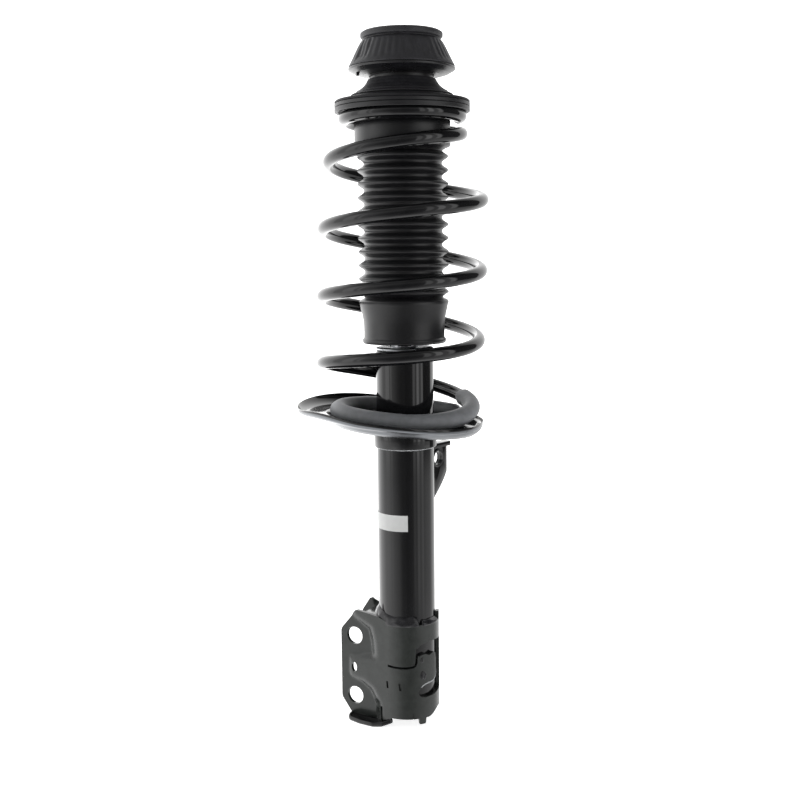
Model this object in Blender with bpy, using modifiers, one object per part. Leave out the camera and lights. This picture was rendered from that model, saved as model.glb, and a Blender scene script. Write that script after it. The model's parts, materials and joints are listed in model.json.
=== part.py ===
"""Front suspension strut assembly: damper, coil spring, dust boot, swivelling top mount and knuckle bracket.

Sizes below are millimetres and degrees, and every point is turned to metres when its mesh is made.
+Z runs up the damper's axis from the bottom face of the base cap. +X is to the right of the spring
seat's low side, and headings on the tube are degrees from the front (-Y) towards +X.
"""

import math

import bmesh
import bpy
from mathutils import Matrix, Vector

MM = 0.001
FIT = 0.3  # gap left between pieces that touch
RUN = 0.25  # gap left between pieces that turn or slide on each other
OUTER_SIDES = 40  # sides of the turned pieces that show
INNER_SIDES = 24  # sides of those inside

# Damper body
TUBE_R = 24.0
TUBE_WALL = 2.0
TUBE_TOP = 312.3
CAP_RIM = 3.0
CAP_HEIGHT = 8.0
CYLINDER_BORE = 16.0
CYLINDER_WALL = 1.5
VALVE_FLANGE = 3.6
VALVE_BOSS = 9.0
GUIDE_HEIGHT = 13.0
GUIDE_SPIGOT = 6.0
SEAL_HEIGHT = 4.5
BUMP_CAP_DISC = 2.2

# Piston rod and piston
ROD_R = 11.0
STUD_R = 6.0
BUSH_WALL = 1.2
REBOUND_CUSHION = 8.0
REBOUND_STOP = 5.0
STOP_TO_PISTON = 18.0
PISTON_HEIGHT = 18.0
PISTON_GAP = 1.0
BAND_WALL = 0.45
BAND_HEIGHT = 8.0
SHIM = 1.0
PISTON_NUT = 8.0
PORT_COUNT = 6
PORT_R = 1.8

# Spring
WIRE_R = 5.5
COIL_R = 65.2
TOP_COIL_R = 47.2
BOTTOM_COIL_R = 55.7
COIL_BOW = 3.5
TURNS_FLAT_BELOW = 0.65
TURNS_ABOVE = 5.3
SLEEVE_WALL = 1.5
SLEEVE_TURNS = 0.98
WIRE_SIDES = 8  # the sleeve is slit along one of them

# Lower spring seat
SEAT_Z = 257.4
SEAT_TILT = 4.8
SEAT_RIM_R = 78.0
SEAT_OFFSET = -12.3
SEAT_SHEET = 2.5
SEAT_HUB_R = 26.8
TROUGH_DEPTH = 9.0
RIM_BACK = 6.0  # how much higher the rim stands at the back
RIM_LEFT = 3.0  # and at the front left
RIM_DIP = 2.0  # how much lower it lies at the front right
COLLAR_WALL = 2.0
COLLAR_BOTTOM = 231.0

# Upper spring seat, bearing and boot
SEAT_ABOVE_TUBE = 212.4  # bearing floor of the upper seat above the tube's top
UPPER_SEAT_R = 54.0
UPPER_SHEET = 2.2
CUP_R = 26.7
RACE = 2.2
BALL_R = 2.4
BALL_COUNT = 12
BALL_CIRCLE_R = 19.0
CAGE = 2.6
NECK_R = 25.6
NECK_HEIGHT = 5.4
BOOT_R = 37.5
BOOT_VALLEY_R = 32.2
BOOT_CUP_R = 39.4
BOOT_LIP_R = 34.4
BOOT_WALL = 1.3
BOOT_LENGTH = 182.0
BOOT_CUP = 22.0
BOOT_SKIRT = 38.0
BOOT_FOLDS = 11
BUMP_R = 21.0
BUMP_LENGTH = 58.0
BUMP_WAISTS = 3

# Top mount
PLATE_R = 43.7
PLATE = 3.0
CORE_R = 12.0
CORE_FLANGE_R = 20.0
CORE_HEIGHT = 17.8
RUBBER_TOP_R = 32.3
RUBBER_HEIGHT = 28.4
RECESS_R = 22.0
WASHER = 2.6
WASHER_R = 17.0
ROD_NUT = 9.0
NUT_ACROSS = 19.0

# Stabilizer link bracket
LINK_HEADING = 142.0
LINK_BELOW_COLLAR = 2.6
LINK_HEIGHT = 56.0
LINK_STRAIGHT = 0.45  # share of the height whose outer edge is upright
LINK_REACH = 57.0
LINK_SHEET = 4.0
LINK_FLANGE = 7.0
LINK_HOLE_R = 6.4
LINK_HOLE_REACH = 43.0
LINK_HOLE_DROP = 12.0

# Knuckle bracket
FLANGE_HEADING = -29.0  # the front flange faces this way
FLANGE_GAP = 33.0
FLANGE_REACH = 54.7
SHEET = 3.0
BOLT_REACH = 41.0
BOLT_R = 7.6
BOLT_LOW_Z = 11.7
BOLT_SPACING = 53.3
RIB_HOLE_R = 3.6
WRAP_TOP = 82.0
WRAP_BOTTOM = 0.5
FLANGE_TOP = 88.2
FLANGE_BOTTOM = -5.5
REAR_EAR = 6.0
EAR = 6.0
NUB = 5.0
LIP_WIDTH = 11.5
LIP = 3.2
LIP_Z = -7.0
WINDOW_LOW = 14.0
WINDOW_TOP = 65.0
SEAM_Z = 44.6
SEAM = 1.8
INSERT_SHEET = 3.0
INSERT_REACH = 27.5

LABEL_LOW = 162.0
LABEL_HEIGHT = 13.7
LABEL_THICK = 0.4

# Heights that follow from the sizes above
VALVE_Z = CAP_HEIGHT + FIT
CYLINDER_Z = VALVE_Z + VALVE_FLANGE + FIT
SEAL_Z = TUBE_TOP - FIT - 0.7 - SEAL_HEIGHT
GUIDE_Z = SEAL_Z - FIT - GUIDE_HEIGHT
SPIGOT_Z = GUIDE_Z - GUIDE_SPIGOT
BUMP_CAP_TOP = TUBE_TOP + FIT + BUMP_CAP_DISC
CUSHION_Z = SPIGOT_Z - FIT - REBOUND_CUSHION
STOP_Z = CUSHION_Z - FIT - REBOUND_STOP
PISTON_TOP = STOP_Z - STOP_TO_PISTON
PISTON_Z = PISTON_TOP - PISTON_HEIGHT
SHIM_Z = PISTON_Z - FIT - SHIM
PISTON_NUT_Z = SHIM_Z - FIT - PISTON_NUT

FLOOR_Z = TUBE_TOP + SEAT_ABOVE_TUBE
LOWER_RACE_Z = FLOOR_Z + FIT
BALL_Z = LOWER_RACE_Z + RACE + FIT + BALL_R
UPPER_RACE_Z = BALL_Z + BALL_R + FIT
NECK_TOP = UPPER_RACE_Z + NECK_HEIGHT
PLATE_Z = NECK_TOP + FIT
RUBBER_Z = PLATE_Z + PLATE + FIT
RUBBER_TOP = RUBBER_Z + RUBBER_HEIGHT
CORE_TOP = PLATE_Z + CORE_HEIGHT
WASHER_Z = CORE_TOP + FIT
ROD_NUT_Z = WASHER_Z + WASHER + FIT
ROD_TOP = ROD_NUT_Z + ROD_NUT + 1.5
SKIRT_TOP = FLOOR_Z - 9.2
BAND_BOTTOM = SKIRT_TOP - 9.7
TOP_COIL_Z = BAND_BOTTOM + 2.2 - WIRE_R
BOOT_TOP = BAND_BOTTOM - 5.9
BOOT_BOTTOM = BOOT_TOP - BOOT_LENGTH
BUMP_TOP = FLOOR_Z - UPPER_SHEET - FIT
SLEEVE_R = WIRE_R + FIT + SLEEVE_WALL
BOTTOM_COIL_Z = SEAT_Z - TROUGH_DEPTH + FIT + SLEEVE_R + 1.8
LINK_TOP = COLLAR_BOTTOM - LINK_BELOW_COLLAR
WRAP_R = TUBE_R + FIT + SHEET / 2
FLANGE_C = FLANGE_GAP / 2 + SHEET / 2
RIB_Z = BOLT_LOW_Z + BOLT_SPACING / 2


def collection(name):
    made = bpy.data.collections.new(name)
    bpy.context.scene.collection.children.link(made)
    return made


def material(name, colour, roughness, metallic=0.0):
    made = bpy.data.materials.new(name)
    made.use_nodes = True
    shader = made.node_tree.nodes["Principled BSDF"]
    shader.inputs["Base Color"].default_value = (*colour, 1.0)
    shader.inputs["Roughness"].default_value = roughness
    shader.inputs["Metallic"].default_value = metallic
    return made


def mesh_object(name, points, faces, finish, group, edges=()):
    mesh = bpy.data.meshes.new(name)
    mesh.from_pydata([Vector(p) * MM for p in points], edges, faces)
    mesh.update()
    made = bpy.data.objects.new(name, mesh)
    group.objects.link(made)
    if finish:
        mesh.materials.append(finish)
    return made


def signed_area(profile):
    closed = zip(profile, profile[1:] + profile[:1])
    return sum(a[0] * b[1] - b[0] * a[1] for a, b in closed) / 2


def turned(name, profile, finish, group, steps):
    """A turned solid from (radius, height) points; a profile that starts and ends at radius 0 is solid."""
    if signed_area(profile) > 0:
        profile = profile[::-1]
    on_axis = [i for i, (radius, _) in enumerate(profile) if radius == 0]
    if on_axis:
        first = on_axis[0] if profile[on_axis[0]][1] > profile[on_axis[-1]][1] else on_axis[-1]
        profile = profile[first:] + profile[:first]
    points = [(radius, 0, height) for radius, height in profile]
    edges = [(i, i + 1) for i in range(len(points) - 1)]
    if not on_axis:
        edges.append((len(points) - 1, 0))
    made = mesh_object(name, points, [], finish, group, edges)
    screw = made.modifiers.new("Screw", "SCREW")
    screw.axis = "Z"
    screw.steps = steps
    screw.render_steps = steps
    screw.use_merge_vertices = True
    screw.merge_threshold = 1e-6
    return made


def swept(name, sections, finish, group, closed=False):
    """A solid through loops of points, each with the same count; its ends are capped unless it is closed."""
    count = len(sections[0])
    points = [point for section in sections for point in section]
    spans = len(sections) if closed else len(sections) - 1
    faces = []
    for i in range(spans):
        a = i * count
        b = (i + 1) % len(sections) * count
        for j in range(count):
            k = (j + 1) % count
            faces.append((a + j, a + k, b + k, b + j))
    if not closed:
        faces.append(tuple(reversed(range(count))))
        faces.append(tuple(range(len(points) - count, len(points))))
    made = mesh_object(name, points, faces, finish, group)
    mend = bmesh.new()
    mend.from_mesh(made.data)
    bmesh.ops.recalc_face_normals(mend, faces=mend.faces)
    mend.to_mesh(made.data)
    mend.free()
    return made


def plate(name, outlines, thickness, finish, group, matrix):
    """A flat plate from outlines in its own XY plane, the first being its edge and the others its holes."""
    curve = bpy.data.curves.new(name, "CURVE")
    curve.dimensions = "2D"
    curve.fill_mode = "BOTH"
    curve.extrude = thickness / 2 * MM
    for outline in outlines:
        spline = curve.splines.new("POLY")
        spline.points.add(len(outline) - 1)
        for point, (x, y) in zip(spline.points, outline):
            point.co = (x * MM, y * MM, 0, 1)
        spline.use_cyclic_u = True
    drawn = bpy.data.objects.new(name, curve)
    group.objects.link(drawn)
    bpy.context.view_layer.update()
    mesh = bpy.data.meshes.new_from_object(drawn.evaluated_get(bpy.context.evaluated_depsgraph_get()))
    bpy.data.objects.remove(drawn)
    weld = bmesh.new()
    weld.from_mesh(mesh)
    bmesh.ops.remove_doubles(weld, verts=weld.verts, dist=1e-6)
    bmesh.ops.recalc_face_normals(weld, faces=weld.faces)
    weld.to_mesh(mesh)
    weld.free()
    made = bpy.data.objects.new(name, mesh)
    made.matrix_world = matrix
    group.objects.link(made)
    if finish:
        mesh.materials.append(finish)
    return made


def cylinder(name, radius, low, high, place, finish, group, sides=24, turn=None):
    """A solid cylinder between two heights along its axis, which passes `place` along Z of `turn`."""
    mesh = bpy.data.meshes.new(name)
    shape = bmesh.new()
    depth = (high - low) * MM
    middle = Matrix.Translation((0, 0, (high + low) / 2 * MM))
    ends = {"radius1": radius * MM, "radius2": radius * MM, "depth": depth, "cap_ends": True}
    bmesh.ops.create_cone(shape, segments=sides, matrix=middle, **ends)
    shape.to_mesh(mesh)
    shape.free()
    made = bpy.data.objects.new(name, mesh)
    made.matrix_world = Matrix.Translation(Vector(place) * MM) @ (turn or Matrix())
    group.objects.link(made)
    if finish:
        mesh.materials.append(finish)
    return made


def as_cutter(made):
    made.hide_render = True
    made.display_type = "WIRE"
    return made


def combine(made, other, operation):
    step = made.modifiers.new(f"{operation} {other.name}", "BOOLEAN")
    step.operation = operation
    step.object = as_cutter(other)


def circle(radius, sides, centre=(0.0, 0.0), first=0.0):
    turns = [2 * math.pi * (first + i) / sides for i in range(sides)]
    return [(centre[0] + radius * math.cos(t), centre[1] + radius * math.sin(t)) for t in turns]


def smooth(low, high, value):
    share = min(max((value - low) / (high - low), 0.0), 1.0)
    return share * share * (3 - 2 * share)


def around(heading, radius, height):
    angle = math.radians(heading)
    return (radius * math.sin(angle), -radius * math.cos(angle), height)


def arc_block(name, inner, outer, headings, low, high, finish, group, step=6.0):
    """Part of a ring between two headings; low and high are heights, or functions of the heading."""
    count = max(2, round(abs(headings[1] - headings[0]) / step) + 1)
    sections = []
    for i in range(count):
        heading = headings[0] + (headings[1] - headings[0]) * i / (count - 1)
        bottom = low(heading) if callable(low) else low
        top = high(heading) if callable(high) else high
        corners = ((inner, bottom), (outer, bottom), (outer, top), (inner, top))
        sections.append([around(heading, radius, height) for radius, height in corners])
    return swept(name, sections, finish, group)


def finished(made):
    """The object's shape with its modifiers applied, smooth except along its edges."""
    mesh = bpy.data.meshes.new_from_object(made.evaluated_get(bpy.context.evaluated_depsgraph_get()))
    made.modifiers.clear()
    made.data = mesh
    mesh.shade_smooth()
    mesh.set_sharp_from_angle(angle=math.radians(32))


def make_damper_body(steel, zinc, rubber, bronze, parts, cutters):
    inner = TUBE_R - TUBE_WALL
    tube = [(inner, TUBE_TOP), (TUBE_R - 0.6, TUBE_TOP), (TUBE_R, TUBE_TOP - 0.6), (TUBE_R, CAP_RIM + FIT)]
    turned("reservoir_tube", tube + [(inner, CAP_RIM + FIT)], steel["paint"], parts, OUTER_SIDES)

    plug = inner - FIT
    cap = [(0, CAP_HEIGHT), (plug, CAP_HEIGHT), (plug, CAP_RIM), (TUBE_R, CAP_RIM), (TUBE_R, 0.8)]
    turned("base_cap", cap + [(TUBE_R - 0.8, 0), (0, 0)], steel["paint"], parts, OUTER_SIDES)

    boss = CYLINDER_BORE - FIT
    flange = (CYLINDER_BORE + CYLINDER_WALL + plug) / 2
    top = VALVE_Z + VALVE_FLANGE
    valve = [(2.2, top + VALVE_BOSS), (boss, top + VALVE_BOSS), (boss, top), (flange, top)]
    valve += [(flange, VALVE_Z), (2.2, VALVE_Z)]
    valve_body = turned("base_valve", valve, bronze, parts, INNER_SIDES)
    drill_ports(valve_body, 10.0, VALVE_Z - 1, top + VALVE_BOSS + 1, cutters)
    disc_z = top + VALVE_BOSS + FIT
    disc = [(3.0, disc_z + SHIM), (13.0, disc_z + SHIM), (13.0, disc_z), (3.0, disc_z)]
    turned("base_valve_disc", disc, steel["bright"], parts, INNER_SIDES)

    outer = CYLINDER_BORE + CYLINDER_WALL
    cylinder_top = GUIDE_Z - FIT
    wall = [(CYLINDER_BORE, cylinder_top), (outer, cylinder_top), (outer, CYLINDER_Z)]
    wall.append((CYLINDER_BORE, CYLINDER_Z))
    turned("inner_cylinder", wall, steel["bright"], parts, INNER_SIDES)

    bush_in = ROD_R + RUN
    bush_out = bush_in + BUSH_WALL
    guide_in = bush_out + FIT
    guide_top = GUIDE_Z + GUIDE_HEIGHT
    guide = [(guide_in, guide_top), (plug, guide_top), (plug, GUIDE_Z), (boss, GUIDE_Z), (boss, SPIGOT_Z)]
    turned("rod_guide", guide + [(guide_in, SPIGOT_Z)], bronze, parts, INNER_SIDES)
    bush = [(bush_in, guide_top), (bush_out, guide_top), (bush_out, SPIGOT_Z + 1), (bush_in, SPIGOT_Z + 1)]
    turned("guide_bush", bush, bronze, parts, INNER_SIDES)
    seal_top = SEAL_Z + SEAL_HEIGHT
    lip = ROD_R + RUN
    seal = [(lip, seal_top), (lip + 1.2, seal_top), (lip + 2.4, seal_top - 1.6), (plug, seal_top - 1.6)]
    turned("rod_seal", seal + [(plug, SEAL_Z), (lip, SEAL_Z)], rubber, parts, INNER_SIDES)
    collar = [(ROD_R + 1.5, BUMP_CAP_TOP), (TUBE_R - 0.5, BUMP_CAP_TOP), (TUBE_R, BUMP_CAP_TOP - 0.6)]
    spigot = [(TUBE_R, TUBE_TOP + FIT), (plug, TUBE_TOP + FIT), (plug, TUBE_TOP - 0.7)]
    turned("bump_cap", collar + spigot + [(ROD_R + 1.5, TUBE_TOP - 0.7)], zinc, parts, OUTER_SIDES)


def drill_ports(made, circle_r, low, high, cutters):
    for i, (x, y) in enumerate(circle(circle_r, PORT_COUNT)):
        port = cylinder(f"{made.name} port {i}", PORT_R, low, high, (x, y, 0), None, cutters, 8)
        combine(made, port, "DIFFERENCE")


def hex_nut(name, across, low, height, bore, finish, parts, cutters):
    nut = cylinder(name, across / math.sqrt(3), low, low + height, (0, 0, 0), finish, parts, 6)
    hole = cylinder(f"{name} bore", bore, low - 1, low + height + 1, (0, 0, 0), None, cutters, 24)
    combine(nut, hole, "DIFFERENCE")


def make_rod_and_piston(chrome, steel, rubber, plastic, parts, cutters):
    stud_end = PISTON_NUT_Z - 1.5
    shoulder = PLATE_Z - FIT
    rod = [(0, ROD_TOP), (STUD_R - 1, ROD_TOP), (STUD_R, ROD_TOP - 1), (STUD_R, shoulder)]
    rod.append((ROD_R - 0.8, shoulder))
    rod += [(ROD_R, shoulder - 0.8), (ROD_R, PISTON_TOP + FIT), (STUD_R, PISTON_TOP + FIT)]
    turned("piston_rod", rod + [(STUD_R, stud_end), (0, stud_end)], chrome, parts, INNER_SIDES)

    on_rod = ROD_R + FIT
    cushion_r = CYLINDER_BORE - 1.6
    low, high = CUSHION_Z, CUSHION_Z + REBOUND_CUSHION
    cushion = [(on_rod, high), (cushion_r - 1, high), (cushion_r, high - 1), (cushion_r, low), (on_rod, low)]
    turned("rebound_cushion", cushion, rubber, parts, INNER_SIDES)
    low, high = STOP_Z, STOP_Z + REBOUND_STOP
    stop = [(on_rod, high), (cushion_r, high), (cushion_r, low), (on_rod, low)]
    turned("rebound_stop", stop, steel["bright"], parts, INNER_SIDES)

    on_stud = STUD_R + FIT
    piston_r = CYLINDER_BORE - PISTON_GAP
    body = [(on_stud, PISTON_TOP), (piston_r, PISTON_TOP), (piston_r, PISTON_Z), (on_stud, PISTON_Z)]
    piston = turned("piston", body, steel["bright"], parts, INNER_SIDES)
    drill_ports(piston, 10.5, PISTON_Z - 1, PISTON_TOP + 1, cutters)
    band_in = piston_r + FIT / 2
    low = PISTON_Z + (PISTON_HEIGHT - BAND_HEIGHT) / 2
    band_out, high = band_in + BAND_WALL, low + BAND_HEIGHT
    band = [(band_in, high), (band_out, high), (band_out, low), (band_in, low)]
    turned("piston_band", band, plastic, parts, INNER_SIDES)
    shims = [(on_stud, SHIM_Z + SHIM), (CYLINDER_BORE - 2.6, SHIM_Z + SHIM), (CYLINDER_BORE - 2.6, SHIM_Z)]
    turned("piston_shims", shims + [(on_stud, SHIM_Z)], steel["bright"], parts, INNER_SIDES)
    hex_nut("piston_nut", NUT_ACROSS, PISTON_NUT_Z, PISTON_NUT, on_stud, steel["bright"], parts, cutters)


def coil_radius(turn):
    """Radius of the wire's centreline, `turn` turns up from where the wire leaves its flat lower coil."""
    radius = BOTTOM_COIL_R + (COIL_R - BOTTOM_COIL_R) * smooth(0.1, 0.75, turn)
    return radius + (TOP_COIL_R - COIL_R) * smooth(TURNS_ABOVE - 1.85, TURNS_ABOVE - 0.95, turn)


def coil_rise(turn):
    """How steeply the wire climbs at this turn: 0 where it lies flat, 1 between the end coils."""
    return smooth(-0.12, 0.22, turn) * (1 - smooth(TURNS_ABOVE - 1.7, TURNS_ABOVE - 0.1, turn))


def coil_path(first, last, steps_per_turn=16):
    """Centreline points and turns of the wire. The climb is shared out so that its ends meet both seats."""
    fine = 100
    total = sum(coil_rise(i / fine) for i in range(int(TURNS_ABOVE * fine))) / fine
    pitch = (TOP_COIL_Z - BOTTOM_COIL_Z) / total
    points = []
    for i in range(round((last - first) * steps_per_turn) + 1):
        turn = first + i / steps_per_turn
        height = sum(coil_rise(j / fine) for j in range(max(0, round(turn * fine)))) / fine * pitch
        share = height / (TOP_COIL_Z - BOTTOM_COIL_Z)
        angle = 2 * math.pi * (turn - 0.25)
        radius = coil_radius(turn)
        x = radius * math.cos(angle) - COIL_BOW * math.sin(math.pi * (1 - share) ** 3)
        lean = math.tan(math.radians(SEAT_TILT)) * (1 - share) ** 0.8
        points.append((x, radius * math.sin(angle), BOTTOM_COIL_Z + height - lean * x))
    return points


def tube_sections(path, section):
    """The section's (outward, upward) points set square to the path at each of its points."""
    sections = []
    for i, point in enumerate(path):
        ahead = Vector(path[min(i + 1, len(path) - 1)]) - Vector(path[max(i - 1, 0)])
        ahead.normalize()
        outward = Vector((point[0], point[1], 0)).normalized()
        outward = (outward - ahead * outward.dot(ahead)).normalized()
        upward = ahead.cross(outward)
        upward = upward if upward.z > 0 else -upward
        sections.append([tuple(Vector(point) + outward * a + upward * b) for a, b in section])
    return sections


def make_spring(paint, rubber, parts):
    """The coil as a swept wire, and the split rubber sleeve on its lowest turn."""
    path = coil_path(-TURNS_FLAT_BELOW, TURNS_ABOVE)
    swept("coil_spring", tube_sections(path, circle(WIRE_R, WIRE_SIDES, first=0.5)), paint, parts)
    slit = WIRE_SIDES // 2
    outside = circle(SLEEVE_R, WIRE_SIDES, first=slit + 0.5)
    bore = circle(WIRE_R + FIT, WIRE_SIDES, first=slit + 0.5)
    ring = outside + bore[::-1]
    covered = coil_path(-TURNS_FLAT_BELOW, SLEEVE_TURNS - TURNS_FLAT_BELOW)
    swept("lower_coil_sleeve", tube_sections(covered, ring), rubber, parts)


def bump(centre, width, heading):
    """A rounded hump of height 1 about a heading."""
    away = abs((heading - centre + 180) % 360 - 180) / width
    return 0.5 + 0.5 * math.cos(math.pi * away) if away < 1 else 0.0


def seat_ring(radius, height, heading, rim_share):
    """A point of the dish: its inner rings centre on the tube, and its rim has a centre of its own."""
    angle = math.radians(heading)
    across = SEAT_OFFSET * math.sin(angle)
    rim = across + math.sqrt(SEAT_RIM_R**2 - (SEAT_OFFSET * math.cos(angle)) ** 2)
    reach = radius + (rim - radius) * rim_share
    lift = RIM_LEFT * bump(-52, 30, heading) - RIM_DIP * bump(30, 60, heading)
    lift = rim_share * (lift + RIM_BACK * bump(215, 75, heading))
    return Vector((reach * math.sin(angle), -reach * math.cos(angle), height + lift))


def make_lower_seat(paint, parts):
    """The tilted stamped dish round the tube, and the welded collar under it."""
    tilt = Matrix.Rotation(math.radians(SEAT_TILT), 3, "Y")
    bed = BOTTOM_COIL_R
    wall = SLEEVE_R + FIT
    low = -TROUGH_DEPTH
    upper = [(SEAT_HUB_R, low + 8, 0), (SEAT_HUB_R + 1, low + 3, 0), (SEAT_HUB_R + 5, low + 0.6, 0)]
    upper += [(bed - 4, low, 0), (bed + 3, low, 0), (bed + wall - 1.2, low + 4, 0)]
    upper.append((bed + wall, low + 7.2, 0))
    upper += [(bed + wall, -1.2, 0.4), (0, 0, 1)]
    lower = [(0, -SEAT_SHEET, 1), (bed + wall + SEAT_SHEET, -1.2 - SEAT_SHEET, 0.4)]
    lower += [(bed + wall + 1.6, low + 5, 0), (bed + 4.6, low - SEAT_SHEET, 0)]
    lower.append((bed - 5, low - SEAT_SHEET, 0))
    lower += [(SEAT_HUB_R + SEAT_SHEET, low - SEAT_SHEET + 1, 0), (SEAT_HUB_R, low - 1.2, 0)]
    sections = []
    count = 36
    for i in range(count):
        heading = 360 * i / count
        ring = [seat_ring(radius, height, heading, share) for radius, height, share in upper]
        ring += [seat_ring(radius, height, heading, share) for radius, height, share in lower]
        sections.append([tuple(tilt @ p + Vector((0, 0, SEAT_Z))) for p in ring])
    swept("lower_spring_seat", sections, paint, parts, closed=True)

    inner = TUBE_R + FIT
    outer = inner + COLLAR_WALL
    drop = SEAT_Z - TROUGH_DEPTH - SEAT_SHEET - FIT
    lean = math.tan(math.radians(SEAT_TILT))
    sections = []
    for i in range(count):
        angle = 2 * math.pi * i / count
        loop = []
        for radius, high in ((inner, False), (outer, False), (outer, True), (inner, True)):
            x = radius * math.cos(angle)
            loop.append((x, radius * math.sin(angle), drop - lean * x if high else COLLAR_BOTTOM))
        sections.append(loop)
    swept("seat_collar", sections, paint, parts, closed=True)


def make_link_bracket(paint, parts, cutters):
    """An upright plate on the back of the tube with a round hole, and a flange turned over at its top."""
    start = TUBE_R + FIT + 0.2
    low = -LINK_HEIGHT
    edge = [(start, 0), (LINK_REACH, 0), (LINK_REACH, -LINK_STRAIGHT * LINK_HEIGHT)]
    for i in range(1, 6):
        share = i / 6
        sink = LINK_STRAIGHT + (1 - LINK_STRAIGHT) * share**0.8
        edge.append((LINK_REACH - (LINK_REACH - start - 3) * share, low * sink))
    edge += [(start + 3, low), (start, low)]
    hole = circle(LINK_HOLE_R, 20, (LINK_HOLE_REACH, -LINK_HOLE_DROP))
    heading = Matrix.Rotation(math.radians(LINK_HEADING - 90), 4, "Z")
    upright = heading @ Matrix.Rotation(math.radians(90), 4, "X")
    place = Matrix.Translation((0, 0, LINK_TOP * MM))
    bracket = plate("stabilizer_link_bracket", [edge, hole], LINK_SHEET, paint, parts, place @ upright)
    half = LINK_SHEET / 2
    shelf = [(start + 0.4, half), (LINK_REACH, half), (LINK_REACH, -LINK_FLANGE)]
    shelf.append((start + 0.4, -LINK_FLANGE))
    level = Matrix.Translation((0, 0, (LINK_TOP - half) * MM)) @ heading
    flange = plate("link bracket flange", [shelf], LINK_SHEET, None, cutters, level)
    combine(bracket, flange, "UNION")


def flange_point(w, c, z):
    """A point of the knuckle bracket: w out from the tube along the flanges, c across them to the front."""
    angle = math.radians(FLANGE_HEADING)
    x = -w * math.cos(angle) + c * math.sin(angle)
    y = -w * math.sin(angle) - c * math.cos(angle)
    return Vector((x, y, z))


def flange_height(w, z):
    """Distance of the front sheet's mid-surface from the plane between the flanges, where w is positive."""
    leave, land = WRAP_R * 0.46, WRAP_R * 0.85
    if w <= leave:
        base = math.sqrt(WRAP_R**2 - w**2)
    else:
        top = math.sqrt(WRAP_R**2 - leave**2)
        share = min((w - leave) / (land - leave), 1.0)
        slope = -leave / top * (land - leave)
        ease = 2 * share**3 - 3 * share**2 + 1
        base = FLANGE_C + (top - FLANGE_C) * ease + slope * (share**3 - 2 * share**2 + share)
    reach = FLANGE_REACH - 5
    ridge = FLANGE_C + (WRAP_R - 0.6 - FLANGE_C) * max(0.0, 1 - w / reach)
    half = 3.5 + 0.42 * max(0.0, reach - w)
    share = 1 - smooth(half, half + 5, abs(z - RIB_Z))
    return base + max(0.0, ridge - base) * share * smooth(0, 6, w)


def sheet_normal(w, z):
    slope = (flange_height(w + 0.2, z) - flange_height(max(w - 0.2, 0), z)) / (w + 0.2 - max(w - 0.2, 0))
    length = math.hypot(1, slope)
    return -slope / length, 1 / length


def flange_outline(w, rear=False):
    """Lowest and highest point of the sheet this far from the tube; the rear flange has a hose ear."""
    corner_top, corner_low = FLANGE_REACH - 16.5, FLANGE_REACH - 10.5
    if w > corner_top:
        top = FLANGE_TOP - (w - corner_top) * 19.0 / 16.5
    else:
        top = WRAP_TOP + (FLANGE_TOP - WRAP_TOP) * smooth(8, corner_top, w)
    if w > corner_low:
        low = FLANGE_BOTTOM + (w - corner_low) * 14.0 / 10.5
    else:
        low = WRAP_BOTTOM - (WRAP_BOTTOM - FLANGE_BOTTOM) * smooth(2, 16, w)
    if rear and abs(w - corner_top - 2) < 8:
        top += REAR_EAR * math.cos((w - corner_top - 2) / 8 * math.pi / 2)
    return low, top


def bracket_stations():
    """(kind, place) round the bracket: in along the front flange, round the tube, out along the rear one."""
    out = [FLANGE_REACH, FLANGE_REACH - 0.8]
    count = 10
    out += [(FLANGE_REACH - 2) * (1 - i / count) for i in range(count)]
    front = [("front", w) for w in out]
    ring = [("ring", 15.0 * i) for i in range(13)]
    rear = [("rear", w) for w in reversed(out)]
    return front + ring + rear


def window_sill(heading):
    return WINDOW_LOW + 9 * smooth(16, 60, heading)


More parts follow.
